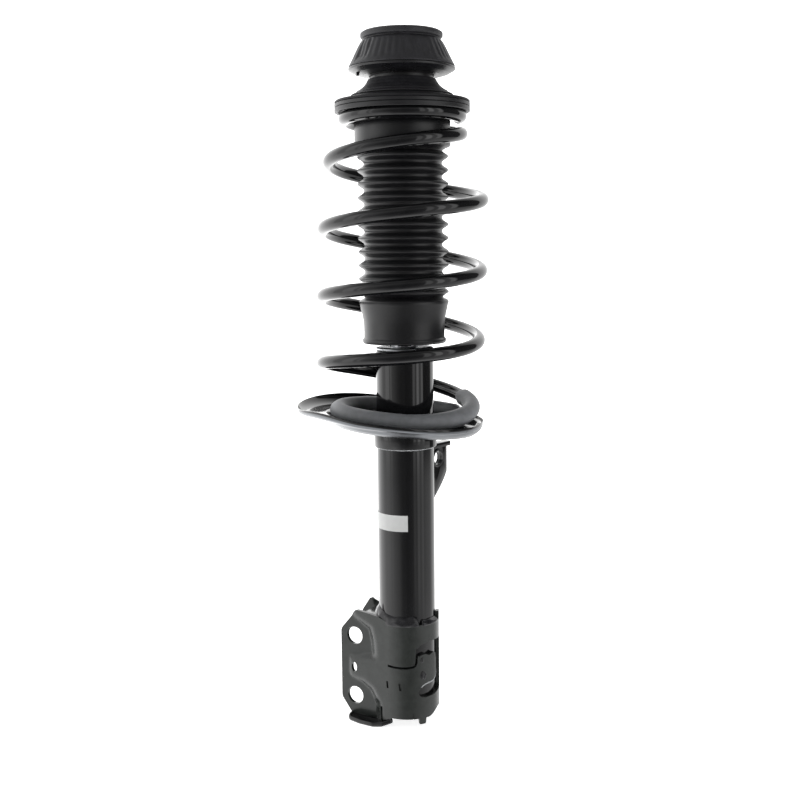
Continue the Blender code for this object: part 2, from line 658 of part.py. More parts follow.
def make_knuckle_bracket(paint, parts, cutters):
    rows = 12
    half = SHEET / 2
    sections = []
    for kind, value in bracket_stations():
        low, top = flange_outline(0.0 if kind == "ring" else value, kind == "rear")
        outer, inner = [], []
        for j in range(rows):
            z = low + (top - low) * j / (rows - 1)
            if kind == "ring":
                angle = math.radians(value)
                for face, radius in ((outer, WRAP_R + half), (inner, WRAP_R - half)):
                    face.append(flange_point(-radius * math.sin(angle), radius * math.cos(angle), z))
                continue
            side = 1 if kind == "front" else -1
            c = flange_height(value, z)
            along, across = sheet_normal(value, z)
            outer.append(flange_point(value + along * half, side * (c + across * half), z))
            inner.append(flange_point(value - along * half, side * (c - across * half), z))
        sections.append([tuple(p) for p in outer + inner[::-1]])
    bracket = swept("knuckle_bracket", sections, paint, parts)

    edge_c = FLANGE_C + LIP_WIDTH
    shape = [(FLANGE_REACH - 9, FLANGE_C), (FLANGE_REACH - 11, edge_c), (14, edge_c + 3), (6, edge_c + 1.5)]
    shape.append((1, WRAP_R + 4))
    clear = TUBE_R + FIT + 0.4
    shape += [(w, math.sqrt(clear**2 - w**2)) for w in (1, 5, 9, 13, 16)]
    outline = [flange_point(w, c, 0) for w, c in shape]
    level = Matrix.Translation((0, 0, (LIP_Z + LIP / 2) * MM))
    lip = plate("bracket lip", [[(p.x, p.y) for p in outline]], LIP, None, cutters, level)
    combine(bracket, lip, "UNION")
    skin = (TUBE_R + FIT, WRAP_R + half)
    ear = arc_block("bracket ear", *skin, (80, 96), WRAP_TOP - 2, WRAP_TOP + EAR, None, cutters)
    combine(bracket, ear, "UNION")
    low = WRAP_BOTTOM - NUB
    nub = arc_block("bracket nub", *skin, (20, 36), low, WRAP_BOTTOM + 2, None, cutters)
    combine(bracket, nub, "UNION")

    facing = Matrix.Rotation(math.radians(FLANGE_HEADING), 4, "Z")
    across = facing @ Matrix.Rotation(math.radians(90), 4, "X")
    reach = FLANGE_C + 12
    holes = [(BOLT_REACH, BOLT_LOW_Z, BOLT_R), (BOLT_REACH, BOLT_LOW_Z + BOLT_SPACING, BOLT_R)]
    holes.append((BOLT_REACH - 1, RIB_Z, RIB_HOLE_R))
    for w, z, radius in holes:
        place = flange_point(w, 0, z)
        hole = cylinder(f"bracket hole {z:.0f}", radius, -reach, reach, place, None, cutters, 24, across)
        combine(bracket, hole, "DIFFERENCE")
    wall = (TUBE_R - 1, WRAP_R + half + 2)
    window = arc_block("bracket window", *wall, (16, 74), window_sill, WINDOW_TOP, None, cutters)
    combine(bracket, window, "DIFFERENCE")
    seam = arc_block("bracket seam", *wall, (-42, 18), SEAM_Z, SEAM_Z + SEAM, None, cutters)
    combine(bracket, seam, "DIFFERENCE")


def make_bracket_insert(paint, parts):
    """The folded plate that closes the bracket between its flanges, on the tube's side of the knuckle."""
    start = TUBE_R + FIT + 0.6
    web = INSERT_REACH
    top = FLANGE_TOP - 2.5
    shelf = web + 11
    low = WRAP_BOTTOM + 1
    outline = [(web, low), (web + INSERT_SHEET, low), (web + INSERT_SHEET, top - INSERT_SHEET)]
    outline.append((shelf, top - INSERT_SHEET))
    outline += [(shelf, top), (start, top), (start, top - INSERT_SHEET), (web, top - INSERT_SHEET)]
    half = FLANGE_GAP / 2 - FIT
    sections = [[tuple(flange_point(w, c, z)) for w, z in outline] for c in (-half, half)]
    swept("bracket_insert", sections, paint, parts)


def make_upper_seat(paint, rubber, zinc, steel, parts):
    """The pressed upper seat with its bearing cup, the rubber ring for the top coil and the lower race."""
    low = FLOOR_Z - UPPER_SHEET
    cup = CUP_R
    rim = UPPER_SEAT_R - 1
    skirt = SKIRT_TOP
    outer = [(cup, FLOOR_Z + 7.4), (cup + 2.4, FLOOR_Z + 7.4), (cup + 4.4, FLOOR_Z + 4)]
    outer.append((cup + 6.6, FLOOR_Z + 0.8))
    outer += [(cup + 11.2, FLOOR_Z - 2.4), (cup + 17, FLOOR_Z - 5.4), (rim, skirt), (rim, skirt - 2.2)]
    bore = ROD_R + 2
    under = [(cup + 17, skirt - 2.2), (cup + 9.4, low - 2.6), (cup + 4.4, low), (bore, low), (bore, FLOOR_Z)]
    turned("upper_spring_seat", outer + under + [(cup, FLOOR_Z)], paint, parts, OUTER_SIDES)

    top = skirt - 2.2 - FIT
    facets = 4
    groove = (WIRE_R + FIT) / math.cos(math.pi / facets / 2)
    arc = [math.pi * i / facets for i in range(facets + 1)]
    channel = [(TOP_COIL_R + groove * math.cos(t), TOP_COIL_Z + groove * math.sin(t)) for t in arc]
    edge = [(TOP_COIL_R - groove - 1.2, top), (UPPER_SEAT_R, top), (UPPER_SEAT_R, BAND_BOTTOM)]
    edge += [(TOP_COIL_R + groove + 0.6, BAND_BOTTOM)]
    ring = [point for point in channel if point[1] > BAND_BOTTOM - 0.5]
    ring.append((TOP_COIL_R - groove - 1.2, TOP_COIL_Z + 2.0))
    turned("upper_coil_insulator", edge + ring, rubber, parts, OUTER_SIDES)

    race_r = NECK_R - 2
    race_top = LOWER_RACE_Z + RACE
    race = [(bore, race_top), (race_r, race_top), (race_r, LOWER_RACE_Z), (bore, LOWER_RACE_Z)]
    turned("bearing_lower_race", race, steel, parts, INNER_SIDES)
    washer_top = BOOT_TOP + FIT + 1.2
    washer = [(BUMP_R - 3, washer_top), (BOOT_CUP_R + 0.4, washer_top), (BOOT_CUP_R + 0.4, BOOT_TOP + FIT)]
    turned("boot_washer", washer + [(BUMP_R - 3, BOOT_TOP + FIT)], zinc, parts, INNER_SIDES)


def make_bump_stop(foam, parts):
    """A foam cylinder round the rod: a head above the boot washer's neck, then rounded rings."""
    bore = ROD_R + 0.6
    neck = BUMP_R - 3 - FIT - 0.2
    head_low = BOOT_TOP + FIT + 1.2 + FIT
    low = BUMP_TOP - BUMP_LENGTH
    outline = [(bore, BUMP_TOP), (BUMP_R, BUMP_TOP), (BUMP_R, head_low), (neck, head_low)]
    outline.append((neck, BOOT_TOP - 1.6))
    start = BOOT_TOP - 1.6
    ring = (start - low) / BUMP_WAISTS
    for i in range(BUMP_WAISTS):
        top = start - ring * i
        outline += [(neck + 1.5 - i, top - 0.5), (neck + 2.5 - i, top - ring * 0.5)]
        outline.append((neck + 1 - i, top - ring * 0.85))
        if i < BUMP_WAISTS - 1:
            outline.append((neck - 2 - i, top - ring * 0.95))
    turned("bump_stop", outline + [(neck - 2 - BUMP_WAISTS, low), (bore, low)], foam, parts, INNER_SIDES)


def make_boot(rubber, parts):
    """The dust boot: an upper cup, bellows, and a lower skirt with a rolled lip."""
    cup_low = BOOT_TOP - BOOT_CUP
    skirt_top = BOOT_BOTTOM + BOOT_SKIRT
    pitch = (cup_low - skirt_top) / BOOT_FOLDS
    outer = [(BOOT_CUP_R, BOOT_TOP), (BOOT_CUP_R, cup_low)]
    for i in range(BOOT_FOLDS):
        top = cup_low - pitch * i
        outer += [(BOOT_VALLEY_R, top - pitch * 0.3), (BOOT_R, top - pitch * 0.8)]
    taper = BOOT_LIP_R - 0.7
    outer += [(BOOT_VALLEY_R + 1.5, skirt_top - 1), (BOOT_R, skirt_top - 3.5), (taper, BOOT_BOTTOM + 16)]
    outer += [(taper, BOOT_BOTTOM + 5), (BOOT_LIP_R, BOOT_BOTTOM + 3.5), (BOOT_LIP_R, BOOT_BOTTOM)]
    bore = BOOT_VALLEY_R - BOOT_WALL
    flange = BUMP_R - 3
    inner = [(bore, BOOT_BOTTOM), (bore, cup_low), (BOOT_CUP_R - BOOT_WALL, cup_low + 0.4)]
    inner += [(BOOT_CUP_R - BOOT_WALL, BOOT_TOP - BOOT_WALL), (flange, BOOT_TOP - BOOT_WALL)]
    profile = [(flange, BOOT_TOP)] + outer + inner
    turned("dust_boot", profile, rubber, parts, 32)


def make_bearing_cage(plastic, parts, cutters):
    """Balls in a flat ring, joined into one piece that turns at half the mount's speed."""
    low, high = BALL_Z - CAGE / 2, BALL_Z + CAGE / 2
    inner, outer = BALL_CIRCLE_R - BALL_R - 0.8, BALL_CIRCLE_R + BALL_R + 0.8
    ring = [(inner, high), (outer, high), (outer, low), (inner, low)]
    cage = turned("bearing_cage", ring, plastic, parts, 36)
    shape = bmesh.new()
    for x, y in circle(BALL_CIRCLE_R, BALL_COUNT):
        place = Matrix.Translation(Vector((x, y, BALL_Z)) * MM)
        bmesh.ops.create_uvsphere(shape, u_segments=6, v_segments=6, radius=BALL_R * MM, matrix=place)
    mesh = bpy.data.meshes.new("bearing balls")
    shape.to_mesh(mesh)
    shape.free()
    balls = bpy.data.objects.new("bearing balls", mesh)
    cutters.objects.link(balls)
    combine(cage, balls, "UNION")


def make_top_mount(rubber, zinc, steel, parts, cutters):
    """The bearing's upper housing, then the plate, core and ribbed rubber cone, with the rod's nut."""
    bore = ROD_R + 1.5
    skirt = BALL_Z - 1
    neck = [(bore, NECK_TOP), (NECK_R - 0.6, NECK_TOP), (NECK_R, NECK_TOP - 0.6), (NECK_R, skirt)]
    neck += [(NECK_R - 1.5, skirt), (NECK_R - 1.5, UPPER_RACE_Z), (bore, UPPER_RACE_Z)]
    turned("bearing_upper_race", neck, rubber, parts, INNER_SIDES)

    plate_in = CORE_FLANGE_R + FIT
    top = PLATE_Z + PLATE
    disc = [(plate_in, top), (PLATE_R - 0.8, top), (PLATE_R, top - 0.8), (PLATE_R, PLATE_Z)]
    disc.append((plate_in, PLATE_Z))
    turned("mount_plate", disc, zinc, parts, OUTER_SIDES)
    hole = STUD_R + FIT
    core = [(hole, CORE_TOP), (CORE_R, CORE_TOP), (CORE_R, top), (CORE_FLANGE_R, top)]
    core.append((CORE_FLANGE_R, PLATE_Z))
    turned("mount_core", core + [(hole, PLATE_Z)], steel["bright"], parts, INNER_SIDES)

    floor = CORE_TOP
    lip = RUBBER_TOP_R
    cone = [(RECESS_R, RUBBER_TOP), (lip - 1.3, RUBBER_TOP), (lip, RUBBER_TOP - 1.4), (lip, RUBBER_TOP - 4)]
    cone += [(lip - 1.4, RUBBER_TOP - 5.4), (lip + 0.6, RUBBER_TOP - 7.5), (lip + 4.7, RUBBER_TOP - 16)]
    cone += [(PLATE_R - 3.8, RUBBER_TOP - 22.2), (PLATE_R - 0.3, RUBBER_TOP - 27.4)]
    cone.append((PLATE_R - 0.3, RUBBER_Z))
    hub = CORE_R + FIT
    cone += [(hub, RUBBER_Z), (hub, floor), (RECESS_R, floor)]
    turned("mount_rubber", cone, rubber, parts, OUTER_SIDES)

    disc = [(hole, WASHER_Z + WASHER), (WASHER_R, WASHER_Z + WASHER), (WASHER_R, WASHER_Z), (hole, WASHER_Z)]
    turned("top_washer", disc, zinc, parts, INNER_SIDES)
    hex_nut("rod_nut", NUT_ACROSS, ROD_NUT_Z, ROD_NUT, hole, zinc, parts, cutters)


def main():
    for leftover in list(bpy.data.objects):
        bpy.data.objects.remove(leftover)
    parts = collection("strut_assembly")
    cutters = collection("cutters")

    paint = material("gloss black paint", (0.012, 0.012, 0.014), 0.22)
    satin = material("satin bracket coating", (0.045, 0.047, 0.045), 0.42)
    steel = {"paint": paint, "bright": material("ground steel", (0.55, 0.55, 0.56), 0.3, 1.0)}
    chrome = material("hard chrome", (0.75, 0.76, 0.78), 0.08, 1.0)
    zinc = material("zinc plate", (0.62, 0.62, 0.6), 0.28, 1.0)
    bronze = material("sintered bronze", (0.36, 0.27, 0.18), 0.45, 1.0)
    rubber = material("black rubber", (0.02, 0.02, 0.021), 0.6)
    grey = material("grey sleeve rubber", (0.12, 0.12, 0.125), 0.7)
    foam = material("bump stop foam", (0.3, 0.28, 0.2), 0.85)
    plastic = material("nylon", (0.05, 0.05, 0.05), 0.5)
    paper = material("blank white label", (0.8, 0.8, 0.79), 0.5)

    make_damper_body(steel, zinc, rubber, bronze, parts, cutters)
    make_rod_and_piston(chrome, steel, rubber, plastic, parts, cutters)
    make_spring(paint, grey, parts)
    make_lower_seat(paint, parts)
    make_link_bracket(paint, parts, cutters)
    make_knuckle_bracket(satin, parts, cutters)
    make_bracket_insert(satin, parts)
    make_upper_seat(paint, rubber, zinc, steel["bright"], parts)
    make_bump_stop(foam, parts)
    make_boot(rubber, parts)
    make_bearing_cage(plastic, parts, cutters)
    make_top_mount(rubber, zinc, steel, parts, cutters)
    label_r = TUBE_R + FIT
    top = LABEL_LOW + LABEL_HEIGHT
    arc_block("blank_label", label_r, label_r + LABEL_THICK, (-130, 3), LABEL_LOW, top, paper, parts)

    bpy.context.view_layer.update()
    for made in parts.objects:
        finished(made)


main()
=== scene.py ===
"""Looks of a front suspension strut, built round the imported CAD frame.

Lengths below are millimetres unless a name or a comment says otherwise, and headings are degrees
round the damper's axis from the front (-Y) towards +X.
"""

import json
import math

import bmesh
import bpy
from mathutils import Matrix, Vector, noise
from mathutils.geometry import tessellate_polygon


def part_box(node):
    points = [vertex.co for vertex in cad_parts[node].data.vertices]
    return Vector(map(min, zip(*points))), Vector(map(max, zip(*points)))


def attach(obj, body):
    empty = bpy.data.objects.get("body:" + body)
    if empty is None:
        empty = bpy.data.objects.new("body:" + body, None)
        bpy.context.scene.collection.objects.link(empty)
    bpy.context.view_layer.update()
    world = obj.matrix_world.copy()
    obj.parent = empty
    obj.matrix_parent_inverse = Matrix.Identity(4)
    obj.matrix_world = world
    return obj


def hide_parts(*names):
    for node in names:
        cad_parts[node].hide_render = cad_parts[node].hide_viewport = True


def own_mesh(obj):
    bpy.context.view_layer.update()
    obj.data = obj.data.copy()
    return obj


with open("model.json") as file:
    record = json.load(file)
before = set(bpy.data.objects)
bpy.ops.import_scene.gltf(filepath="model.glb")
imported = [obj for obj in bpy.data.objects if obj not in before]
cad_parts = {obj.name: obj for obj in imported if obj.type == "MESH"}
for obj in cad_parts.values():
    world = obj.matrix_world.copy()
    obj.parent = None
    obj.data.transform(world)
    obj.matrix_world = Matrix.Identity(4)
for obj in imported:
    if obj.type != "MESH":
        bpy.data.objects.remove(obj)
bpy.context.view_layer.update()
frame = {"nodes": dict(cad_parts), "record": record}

MM = 0.001


def low(node):
    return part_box(node)[0].z / MM


def high(node):
    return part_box(node)[1].z / MM


# Heights taken from the CAD pieces
TUBE_TOP = high("reservoir_tube")
COLLAR_LOW = low("seat_collar")
FLOOR = high("bump_stop") + 2.5  # floor of the upper seat's bearing cup
NECK_TOP = high("bearing_upper_race")
PLATE_LOW = low("mount_plate")
PLATE_TOP = high("mount_plate")
CONE_LOW = low("mount_rubber")
CONE_TOP = high("mount_rubber")
CORE_TOP = high("mount_core")
BAND_LOW = FLOOR - 18.9
SKIRT_TOP = FLOOR - 9.2
BOOT_TOP = high("dust_boot")
BOOT_LOW = low("dust_boot")
LABEL_LOW = low("blank_label")
LABEL_HIGH = high("blank_label")
LINK_TOP = high("stabilizer_link_bracket")

# Sizes shared with the CAD source
TUBE_R = 24.0
TUBE_BORE_R = 22.0
TUBE_LOW = 3.3
FIT = 0.3
WIRE_R = 5.5
COIL_R = 65.2
TOP_COIL_R = 47.2
BOTTOM_COIL_R = 55.7
COIL_BOW = 3.5
TURNS_FLAT_BELOW = 0.65
TURNS_ABOVE = 5.3
SLEEVE_TURNS = 0.995
SLEEVE_R = 7.3
SEAT_Z = 257.4
SEAT_TILT = 4.8
SEAT_RIM_R = 78.0
SEAT_OFFSET = -12.3
BOTTOM_COIL_Z = 257.8
TOP_COIL_Z = BAND_LOW + 2.2 - WIRE_R


# ---------------------------------------------------------------- materials


def paint_hex(code):
    """Linear colour from an sRGB hex value."""
    parts = [int(code[i : i + 2], 16) / 255 for i in (0, 2, 4)]
    linear = [p / 12.92 if p <= 0.04045 else ((p + 0.055) / 1.055) ** 2.4 for p in parts]
    return (*linear, 1.0)


def add(tree, kind, inputs=None, **settings):
    """A node with its settings; each input takes a value, or another node's output to link from."""
    made = tree.nodes.new(kind)
    for name, value in settings.items():
        setattr(made, name, value)
    for name, value in (inputs or {}).items():
        socket = made.inputs[name]
        if isinstance(value, bpy.types.NodeSocket):
            tree.links.new(value, socket)
        else:
            socket.default_value = value
    return made


def new_finish(name):
    made = bpy.data.materials.new(name)
    made.use_nodes = True
    made.node_tree.nodes.clear()
    return made, made.node_tree


GRIT_SIZE = 0.9
CLOUD_SIZE = 9.0


def per_mm(size):
    """Texture scale whose features are about this many millimetres across."""
    return 1.0 / (size * MM)


def noise_at(tree, place, size, detail):
    return add(tree, "ShaderNodeTexNoise", {"Vector": place, "Scale": per_mm(size), "Detail": detail})


def bump_from(tree, height, depth, over=None):
    """A bump `depth` mm deep, laid over another bump if one is given."""
    inputs = {"Height": height.outputs["Fac"], "Strength": 1.0, "Distance": depth * MM}
    if over:
        inputs["Normal"] = over.outputs["Normal"]
    return add(tree, "ShaderNodeBump", inputs)


def finished(made, tree, patches, tones, stops, rough, bump, more):
    """Ends a finish: patches of noise drive its colour between two tones, and its roughness."""
    shade = add(tree, "ShaderNodeValToRGB", {"Fac": patches.outputs["Fac"]})
    for element, stop, code in zip(shade.color_ramp.elements, stops, tones):
        element.position = stop
        element.color = paint_hex(code)
    share = {"Value": patches.outputs["Fac"], "To Min": rough[0], "To Max": rough[1]}
    gloss = add(tree, "ShaderNodeMapRange", share)
    surface = {"Base Color": shade.outputs["Color"], "Roughness": gloss.outputs["Result"]}
    surface["Normal"] = bump.outputs["Normal"]
    shader = add(tree, "ShaderNodeBsdfPrincipled", surface | more)
    add(tree, "ShaderNodeOutputMaterial", {"Surface": shader.outputs["BSDF"]})
    return made


def coated(name, colour, tone, rough, grain, wave, wave_depth, ior=1.5, grit=0.0):
    """A paint film or a moulded skin.

    The colour drifts between two tones, the gloss varies in patches `grain` mm wide, and a bump of
    waves `wave` mm long gives the flow of paint or the skin of rubber. `grit` is how strongly a fine
    sandy bump shows.
    """
    made, tree = new_finish(name)
    place = add(tree, "ShaderNodeTexCoord").outputs["Object"]
    bump = bump_from(tree, noise_at(tree, place, wave, 2.0), wave_depth)
    if grit:
        bump = bump_from(tree, noise_at(tree, place, GRIT_SIZE, 3.0), grit, bump)
    patches = noise_at(tree, place, grain, 4.0)
    return finished(made, tree, patches, (colour, tone), (0.3, 0.72), rough, bump, {"IOR": ior})


def bare_metal(name, colour, tone, rough, line, line_depth):
    """Bare or plated metal: turning lines `line` mm apart, and cloudy patches in its shine."""
    made, tree = new_finish(name)
    place = add(tree, "ShaderNodeTexCoord").outputs["Object"]
    along = add(tree, "ShaderNodeMapping", {"Vector": place, "Scale": (0.08, 0.08, 1.0)})
    bump = bump_from(tree, noise_at(tree, along.outputs["Vector"], line, 3.0), line_depth)
    clouds = noise_at(tree, place, CLOUD_SIZE, 3.0)
    return finished(made, tree, clouds, (colour, tone), (0.0, 1.0), rough, bump, {"Metallic": 1.0})


# Dipped and baked black enamel: a smooth wet shine with the faint flow of a dipped film
tube_enamel = coated("black enamel", "0A0A0B", "0E0E10", (0.05, 0.09), 14.0, 16.0, 0.012)
# The same enamel on pressed seats, a little wavier from the press
seat_enamel = coated("black enamel on pressed steel", "09090A", "101012", (0.05, 0.1), 18.0, 12.0, 0.02)
# Powder coat on spring wire: thick and glossy, with orange peel about 2 mm wide
spring_coat = coated("black powder coat", "08080A", "0D0D0F", (0.05, 0.09), 8.0, 3.2, 0.004)
# Dip coating on the mount's bowl: black, with a soft broad shine that brightens at its sides
plate_coat = coated("semi-gloss dip coating", "101012", "17171A", (0.24, 0.34), 7.0, 5.0, 0.015, ior=1.5)
# Dull dip coating on the upper seat: black, with little shine even at a low angle
dome_coat = coated("dull dip coating", "141416", "1B1B1E", (0.48, 0.6), 7.0, 3.0, 0.02, ior=1.34, grit=0.01)
# Satin phosphate-and-paint coating: grey-black and softly shiny, a little cloudy
bracket_coat = coated("satin bracket coating", "212422", "2B2E2C", (0.19, 0.29), 9.0, 1.8, 0.006, grit=0.003)
# Moulded EPDM rubber: matte and dark grey, with a dry bloom in patches
cone_rubber = coated("moulded EPDM rubber", "1C1C1F", "28282C", (0.46, 0.62), 5.0, 2.2, 0.02, grit=0.015)
# Blow-moulded thermoplastic elastomer: smooth, soft sheen
boot_rubber = coated("blow-moulded elastomer", "0F0F11", "151517", (0.3, 0.42), 12.0, 5.0, 0.02, grit=0.004)
# Rubber ring under the upper seat: black and slightly shiny
ring_rubber = coated("moulded nitrile rubber", "121214", "19191B", (0.36, 0.5), 7.0, 3.0, 0.012, grit=0.006)
# Extruded PVC sleeve: mid grey, fine matte
sleeve_vinyl = coated("grey vinyl sleeve", "6A6C6F", "77797C", (0.5, 0.62), 6.0, 3.5, 0.02, grit=0.012)
# Glass-filled nylon: black, faintly mottled
nylon = coated("glass-filled nylon", "121213", "1B1B1D", (0.3, 0.42), 4.0, 1.4, 0.01, grit=0.006)
# Microcellular polyurethane foam: pale straw, dry and porous
foam = coated("microcellular polyurethane", "B9AE86", "CFC59D", (0.75, 0.9), 3.0, 1.2, 0.08, grit=0.06)
# Thermal-transfer label film: white with a soft satin shine
label_film = coated("white label film", "B8B9B8", "C2C3C2", (0.38, 0.5), 10.0, 6.0, 0.01)
# Clear zinc plate: silver with a faint cloud
zinc = bare_metal("clear zinc plate", "B9BCBF", "D6D8DA", (0.22, 0.34), 0.5, 0.01)
# Ground steel: fine turning lines
steel = bare_metal("ground steel", "8C8D90", "A9ABAE", (0.28, 0.4), 0.35, 0.012)
# Hard chrome on the rod: a mirror with hardly any lines
chrome = bare_metal("hard chrome", "C9CBCE", "DADCDF", (0.05, 0.09), 0.3, 0.003)
# Oiled sintered bronze: dull brown metal
bronze = bare_metal("sintered bronze", "6E5434", "866842", (0.42, 0.55), 0.8, 0.02)
# Weld beads under enamel: the same black, rippled
weld_enamel = coated("enamelled weld bead", "141416", "202023", (0.16, 0.26), 4.0, 3.5, 0.05)
# Painted highlight on the seat rim and weld toe: a light grey film standing in for the bright line of light
# there
painted_highlight_edge = coated("light grey painted highlight", "8E9093", "B4B6B8", (0.25, 0.4), 3.0, 2.0, 0.02)

# Underside of the seat: silver grey metal, a painted reflection standing in for the bright light the seat's
# underside catches at a low angle
seat_underside_painted_reflection = bare_metal("silver grey painted reflection", "5E6063", "787A7D", (0.24, 0.34), 2.0, 0.01)

FINISH_OF_SLOT = {
    "gloss_black_paint": seat_enamel,
    "spring_paint": spring_coat,
    "satin_coating": bracket_coat,
    "ground_steel": steel,
    "hard_chrome": chrome,
    "zinc_plate": zinc,
    "sintered_bronze": bronze,
    "black_rubber": ring_rubber,
    "housing_polymer": nylon,
    "grey_rubber": sleeve_vinyl,
    "bump_foam": foam,
    "label_film": label_film,
}
SLOT_OF_NODE = {row["node"]: row["material_slot"] for row in frame["record"]["subparts"]}
for node_name, node in frame["nodes"].items():
    node.data.materials.clear()
    node.data.materials.append(FINISH_OF_SLOT[SLOT_OF_NODE[node_name]])


# ---------------------------------------------------------------- making pieces

# Body and material slot that most pieces share
PAINTED = ("strut", "gloss_black_paint")
COATED = ("strut", "satin_coating")

def new_object(name, points, faces):
    """An object from points in mm."""
    mesh = bpy.data.meshes.new(name)
    mesh.from_pydata([Vector(p) * MM for p in points], [], faces)
    made = bpy.data.objects.new(name, mesh)
    bpy.context.scene.collection.objects.link(made)
    return made


def face_outward(mesh, join=True):
    """Turns the faces outward, after joining doubled points."""
    shape = bmesh.new()
    shape.from_mesh(mesh)
    if join:
        bmesh.ops.remove_doubles(shape, verts=shape.verts, dist=2e-6)
    bmesh.ops.recalc_face_normals(shape, faces=shape.faces)
    shape.to_mesh(mesh)
    shape.free()


def shade(mesh, sharp):
    """Smooth, except along edges sharper than `sharp` degrees."""
    mesh.shade_smooth()
    mesh.set_sharp_from_angle(angle=math.radians(sharp))


def as_piece(made, finish, body, slot, nodes=(), sharp=34.0):
    """Finishes an object as a piece, riding on a body and standing for CAD nodes."""
    made.data.materials.clear()
    made.data.materials.append(finish)
    face_outward(made.data)
    shade(made.data, sharp)
    if nodes:
        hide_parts(*nodes)
    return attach(made, body)


def piece(name, points, faces, finish, body, slot, nodes=(), sharp=34.0):
    return as_piece(new_object(name, points, faces), finish, body, slot, nodes, sharp)


def around(heading, radius, height):
    angle = math.radians(heading)
    return (radius * math.sin(angle), -radius * math.cos(angle), height)


def smooth(start, end, value):
    share = min(max((value - start) / (end - start), 0.0), 1.0)
    return share * share * (3 - 2 * share)


def eased(profile, radii, steps=5):
    """A closed profile with its corners rounded; radii is one radius, or one for each corner."""
    if not isinstance(radii, (list, tuple)):
        radii = [radii] * len(profile)
    found = []
    for i, corner in enumerate(profile):
        at = Vector(corner)
        before = Vector(profile[i - 1])
        after = Vector(profile[(i + 1) % len(profile)])
        radius = radii[i]
        one, two = (before - at), (after - at)
        if radius <= 0 or one.length < 1e-6 or two.length < 1e-6:
            found.append(tuple(at))
            continue
        half = one.angle(two) / 2
        if half > math.radians(88) or half < math.radians(2):
            found.append(tuple(at))
            continue
        reach = min(radius / math.tan(half), one.length * 0.48, two.length * 0.48)
        start, end = at + one.normalized() * reach, at + two.normalized() * reach
        for k in range(steps + 1):
            t = k / steps
            found.append(tuple(start * (1 - t) ** 2 + at * 2 * t * (1 - t) + end * t**2))
    return found


def turned(name, profile, finish, body, slot, nodes=(), sides=96, reshape=None, sharp=34.0):
    """A ring turned from a closed (radius, height) profile; reshape(heading, radius, height) may alter it."""
    sections = []
    for i in range(sides):
        heading = 360.0 * i / sides
        loop = [reshape(heading, *p) for p in profile] if reshape else profile
        sections.append([around(heading, radius, height) for radius, height in loop])
    return piece(name, *lofted(sections, closed=True), finish, body, slot, nodes, sharp)


def lofted(sections, closed=False):
    """Points and faces through loops of equal count, with a cap on each end unless they close."""
    count = len(sections[0])
    points = [p for section in sections for p in section]
    faces = []
    spans = len(sections) if closed else len(sections) - 1
    for i in range(spans):
        a, b = i * count, (i + 1) % len(sections) * count
        for j in range(count):
            k = (j + 1) % count
            faces.append((a + j, a + k, b + k, b + j))
    if not closed:
        faces.append(tuple(reversed(range(count))))
        faces.append(tuple(range(len(points) - count, len(points))))
    return points, faces


def circle(sides):
    """Cosine and sine of evenly spaced angles."""
    angles = [2 * math.pi * k / sides for k in range(sides)]
    return [(math.cos(angle), math.sin(angle)) for angle in angles]


def above(base, profile):
    """A (radius, height) profile whose heights are counted from a base."""
    return [(radius, base + height) for radius, height in profile]


def section_frames(path):
    """(point, outward, upward) square to the path at each point."""
    frames = []
    for i, point in enumerate(path):
        ahead = Vector(path[min(i + 1, len(path) - 1)]) - Vector(path[max(i - 1, 0)])
        ahead.normalize()
        outward = Vector((point[0], point[1], 0)).normalized()
        outward = (outward - ahead * outward.dot(ahead)).normalized()
        upward = ahead.cross(outward)
        upward = upward if upward.z > 0 else -upward
        frames.append((Vector(point), outward, upward))
    return frames


def offset_group():
    """Geometry nodes that move each point by the vector stored with it as `from_line`."""
    group = bpy.data.node_groups.new("points off their line", "GeometryNodeTree")
    group.interface.new_socket("Geometry", in_out="INPUT", socket_type="NodeSocketGeometry")
    group.interface.new_socket("Geometry", in_out="OUTPUT", socket_type="NodeSocketGeometry")
    start = add(group, "NodeGroupInput")
    stored = add(group, "GeometryNodeInputNamedAttribute", {"Name": "from_line"}, data_type="FLOAT_VECTOR")
    moved = add(
        group,
        "GeometryNodeSetPosition",
        {"Geometry": start.outputs[0], "Offset": stored.outputs["Attribute"]},
    )
    add(group, "NodeGroupOutput", {0: moved.outputs["Geometry"]})
    return group


OFFSETS = offset_group()


def squashed(name, shape, lines, faces, finish, body, nodes, sharp=40.0):
    """A piece that keeps its cross-section if its line is shortened.

    Each point is stored on its line, which is what shortens, with the step from the line to its place.
    """
    made = new_object(name, shape, faces)
    mesh = made.data
    mesh.materials.append(finish)
    face_outward(mesh, join=False)
    shade(mesh, sharp)
    steps = mesh.attributes.new("from_line", "FLOAT_VECTOR", "POINT")
    flat = [c for point, line in zip(shape, lines) for c in (Vector(point) - Vector(line)) * MM]
    steps.data.foreach_set("vector", flat)
    mesh.vertices.foreach_set("co", [c * MM for line in lines for c in line])
    mesh.update()
    made.modifiers.new("off the line", "NODES").node_group = OFFSETS
    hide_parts(*nodes)
    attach(made, body)
    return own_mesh(made)


# ---------------------------------------------------------------- spring and sleeve


def coil_radius(turn):
    radius = BOTTOM_COIL_R + (COIL_R - BOTTOM_COIL_R) * smooth(0.1, 0.75, turn)
    return radius + (TOP_COIL_R - COIL_R) * smooth(TURNS_ABOVE - 1.85, TURNS_ABOVE - 0.95, turn)


def coil_rise(turn):
    return smooth(-0.12, 0.22, turn) * (1 - smooth(TURNS_ABOVE - 1.7, TURNS_ABOVE - 0.1, turn))


